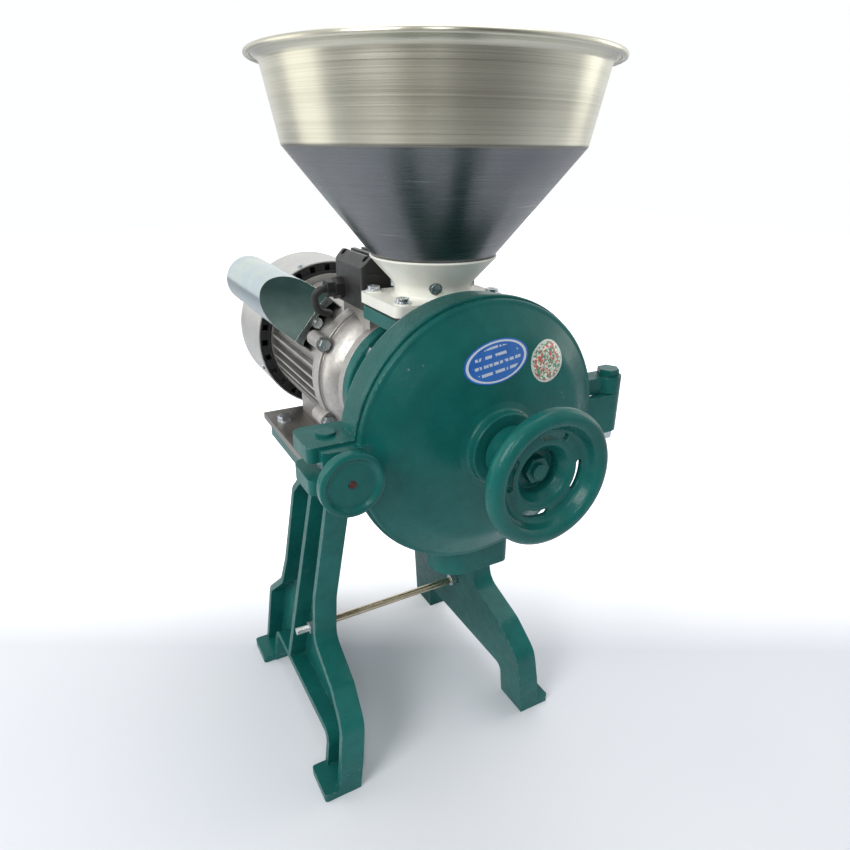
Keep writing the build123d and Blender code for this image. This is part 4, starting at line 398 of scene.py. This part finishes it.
def label_look():
    """Blue oval plate: a pale border line and plain pale bars, no lettering."""
    look = Look("blue_plate")
    turned = look.add("ShaderNodeVectorRotate", rotation_type="Y_AXIS")
    look.join(look.offset(PLATE_CENTRE), turned.inputs["Vector"])
    turned.inputs["Angle"].default_value = PLATE_LEAN
    place = look.split(turned.outputs["Vector"])
    across = look.maths("DIVIDE", place["X"], PLATE_HALF[0])
    up = look.maths("DIVIDE", place["Z"], PLATE_HALF[1])
    ring = look.maths("SQRT", look.maths("ADD", look.maths("MULTIPLY", across, across),
                                         look.maths("MULTIPLY", up, up)))
    border = look.maths("MULTIPLY", look.maths("GREATER_THAN", ring, 0.86),
                        look.maths("LESS_THAN", ring, 0.94))
    row = look.maths("FRACT", look.maths("MULTIPLY", up, 2.6))
    bars = look.maths("MULTIPLY", look.maths("GREATER_THAN", row, 0.64),
                      look.maths("LESS_THAN", ring, 0.74))
    breaks = look.noise(1.0, 0.0, 0.5, look.scaled(420.0, 0.0, 90.0, turned.outputs["Vector"]))
    bars = look.maths("MULTIPLY", bars, look.maths("GREATER_THAN", breaks, 0.44))
    clouds = look.noise(60.0, 3.0)
    blue = look.mix(look.ramp(clouds, 0.3, 0.7), (0.010, 0.105, 0.42), (0.020, 0.150, 0.52))
    look.colour(look.mix(look.maths("MAXIMUM", border, look.maths("MULTIPLY", bars, 0.85)), blue,
                         (0.60, 0.66, 0.74)))
    look.rough(look.ramp(clouds, 0.3, 0.7, 0.22, 0.34))
    look.base(Coat_Weight=0.4, Coat_Roughness=0.10)
    return look.material


def seal_look():
    """Round foil seal: pale, green and a few red facets that glitter, with a plain pale rim."""
    look = Look("foil_seal")
    flat = look.scaled(1.0, 0.0, 1.0, look.offset(SEAL_CENTRE))
    length = look.add("ShaderNodeVectorMath", operation="LENGTH")
    look.join(flat, length.inputs[0])
    facets = look.cells(620.0, "F1", flat)
    tint = look.add("ShaderNodeSeparateColor")
    look.join(facets.outputs["Color"], tint.inputs["Color"])
    colour = look.mix(look.ramp(tint.outputs["Red"], 0.25, 0.75), (0.07, 0.27, 0.17), (0.86, 0.86, 0.76))
    colour = look.mix(look.maths("GREATER_THAN", tint.outputs["Green"], 0.80), colour, (0.62, 0.13, 0.10))
    rim = look.maths("GREATER_THAN", length.outputs["Value"], SEAL_RIM_R)
    look.colour(look.mix(rim, colour, (0.62, 0.64, 0.62)))
    look.rough(look.ramp(tint.outputs["Blue"], 0.0, 1.0, 0.16, 0.42))
    look.base(Metallic=0.25, Coat_Weight=0.5)
    look.normal(look.bump(tint.outputs["Red"], 0.00012, 0.6))
    return look.material


looks["blue_plate"] = label_look()
looks["foil_seal"] = seal_look()
wearers["blue_plate"] = ["rating_plate"]
wearers["foil_seal"] = ["inspection_seal"]

for look_name, wearing in wearers.items():
    for node_name in wearing:
        mesh = nodes[node_name].data
        mesh.materials.clear()
        mesh.materials.append(looks[look_name])


# ---- floor, light and camera --------------------------------------------------------------------
def plain_floor():
    """Wide pale floor with painted shade far in front, a darker room for reflections. Behind the machine
    the camera sees it fade into white.
    """
    mesh = bpy.data.meshes.new("floor")
    corners = ((-1, -1), (1, -1), (1, 1), (-1, 1))
    mesh.from_pydata([(x * FLOOR_HALF, y * FLOOR_HALF, FLOOR_Z) for x, y in corners], [], [(0, 1, 2, 3)])
    floor = bpy.data.objects.new("floor", mesh)
    bpy.context.scene.collection.objects.link(floor)
    look = Look("floor_paper")
    clouds = look.noise(1.6, 2.0, 0.5)
    pale = look.mix(look.ramp(clouds, 0.3, 0.7), (0.76, 0.79, 0.87), (0.82, 0.845, 0.91))
    behind = look.along(look.place, (math.sin(HEADING), math.cos(HEADING), 0.0))
    # Painted shade: the floor far in front of the machine, out of view, is dark like a shaded room.
    look.colour(look.mix(look.ramp(behind, -0.55, -1.2), pale, (0.30, 0.29, 0.28)))
    look.rough(look.ramp(look.noise(40.0, 2.0), 0.3, 0.7, 0.55, 0.65))
    look.base(Emission_Color=(1.0, 1.0, 0.99, 1.0))
    rays = look.add("ShaderNodeLightPath")
    fade = look.ramp(behind, 0.04, 0.34, 0.0, 0.9)
    look.put(look.shader.inputs["Emission Strength"],
             look.maths("MULTIPLY", fade, rays.outputs["Is Camera Ray"]))
    mesh.materials.append(look.material)


def soft_light(name, place, width, height, power, colour):
    data = bpy.data.lights.new(name, "AREA")
    data.shape = "RECTANGLE"
    data.size = width
    data.size_y = height
    data.energy = power
    data.color = colour
    lamp = bpy.data.objects.new(name, data)
    lamp.location = place
    aim = Vector(MIDDLE) - Vector(place)
    lamp.rotation_euler = aim.to_track_quat("-Z", "Y").to_euler()
    bpy.context.scene.collection.objects.link(lamp)


def surroundings(world):
    """White where the camera looks. Reflections see that white too, and a darker room at the front."""
    world.use_nodes = True
    tree = world.node_tree
    tree.nodes.clear()

    def reach(value, low, high, to_low, to_high):
        made = tree.nodes.new("ShaderNodeMapRange")
        tree.links.new(value, made.inputs["Value"])
        numbers = {"From Min": low, "From Max": high, "To Min": to_low, "To Max": to_high}
        for name, number in numbers.items():
            if isinstance(number, bpy.types.NodeSocket):
                tree.links.new(number, made.inputs[name])
            else:
                made.inputs[name].default_value = number
        return made.outputs["Result"]

    coordinates = tree.nodes.new("ShaderNodeTexCoord")
    front = tree.nodes.new("ShaderNodeVectorMath")
    front.operation = "DOT_PRODUCT"
    tree.links.new(coordinates.outputs["Generated"], front.inputs[0])
    front.inputs[1].default_value = (-math.sin(HEADING), -math.cos(HEADING), 0.0)
    rays = tree.nodes.new("ShaderNodeLightPath")
    room = reach(front.outputs["Value"], 0.10, 0.70, 1.0, 0.14)
    seen = reach(rays.outputs["Is Glossy Ray"], 0.0, 1.0, 0.42, room)
    seen = reach(rays.outputs["Is Transmission Ray"], 0.0, 1.0, seen, 1.0)
    seen = reach(rays.outputs["Is Camera Ray"], 0.0, 1.0, seen, 1.0)
    sky = tree.nodes.new("ShaderNodeBackground")
    sky.inputs["Color"].default_value = (0.99, 1.0, 1.0, 1.0)
    tree.links.new(seen, sky.inputs["Strength"])
    out = tree.nodes.new("ShaderNodeOutputWorld")
    tree.links.new(sky.outputs["Background"], out.inputs["Surface"])


plain_floor()
soft_light("window", (-1.72, -0.85, 1.60), 0.9, 1.2, 27.0, (1.0, 0.99, 0.95))
soft_light("overhead", (0.3, 0.3, 2.3), 1.8, 1.4, 16.0, (1.0, 0.99, 0.97))
soft_light("left_window", (-1.35, 0.70, 0.60), 0.9, 1.2, 3.4, (1.0, 0.96, 0.84))
soft_light("right_fill", (1.9, -0.26, 1.0), 0.7, 1.3, 4.4, (1.0, 0.97, 0.88))
soft_light("streak", (-0.80, -1.60, 1.50), 0.25, 1.0, 6.0, (0.97, 1.0, 0.98))

scene = bpy.context.scene
scene.world = bpy.data.worlds.new("studio")
surroundings(scene.world)

camera_data = bpy.data.cameras.new("camera")
camera_data.sensor_fit = "HORIZONTAL"
camera_data.sensor_width = SENSOR
camera_data.lens = LENS
camera_data.clip_start = 0.02
camera_data.clip_end = 40.0
camera = bpy.data.objects.new("camera", camera_data)
camera.location = CAMERA_PLACE
camera.rotation_euler = (Euler((math.radians(90.0) - DIP, 0.0, -HEADING), "XYZ").to_matrix()
                         @ Matrix.Rotation(TURN, 3, "Z")).to_euler()
scene.collection.objects.link(camera)
scene.camera = camera
scene.view_settings.view_transform = "Standard"
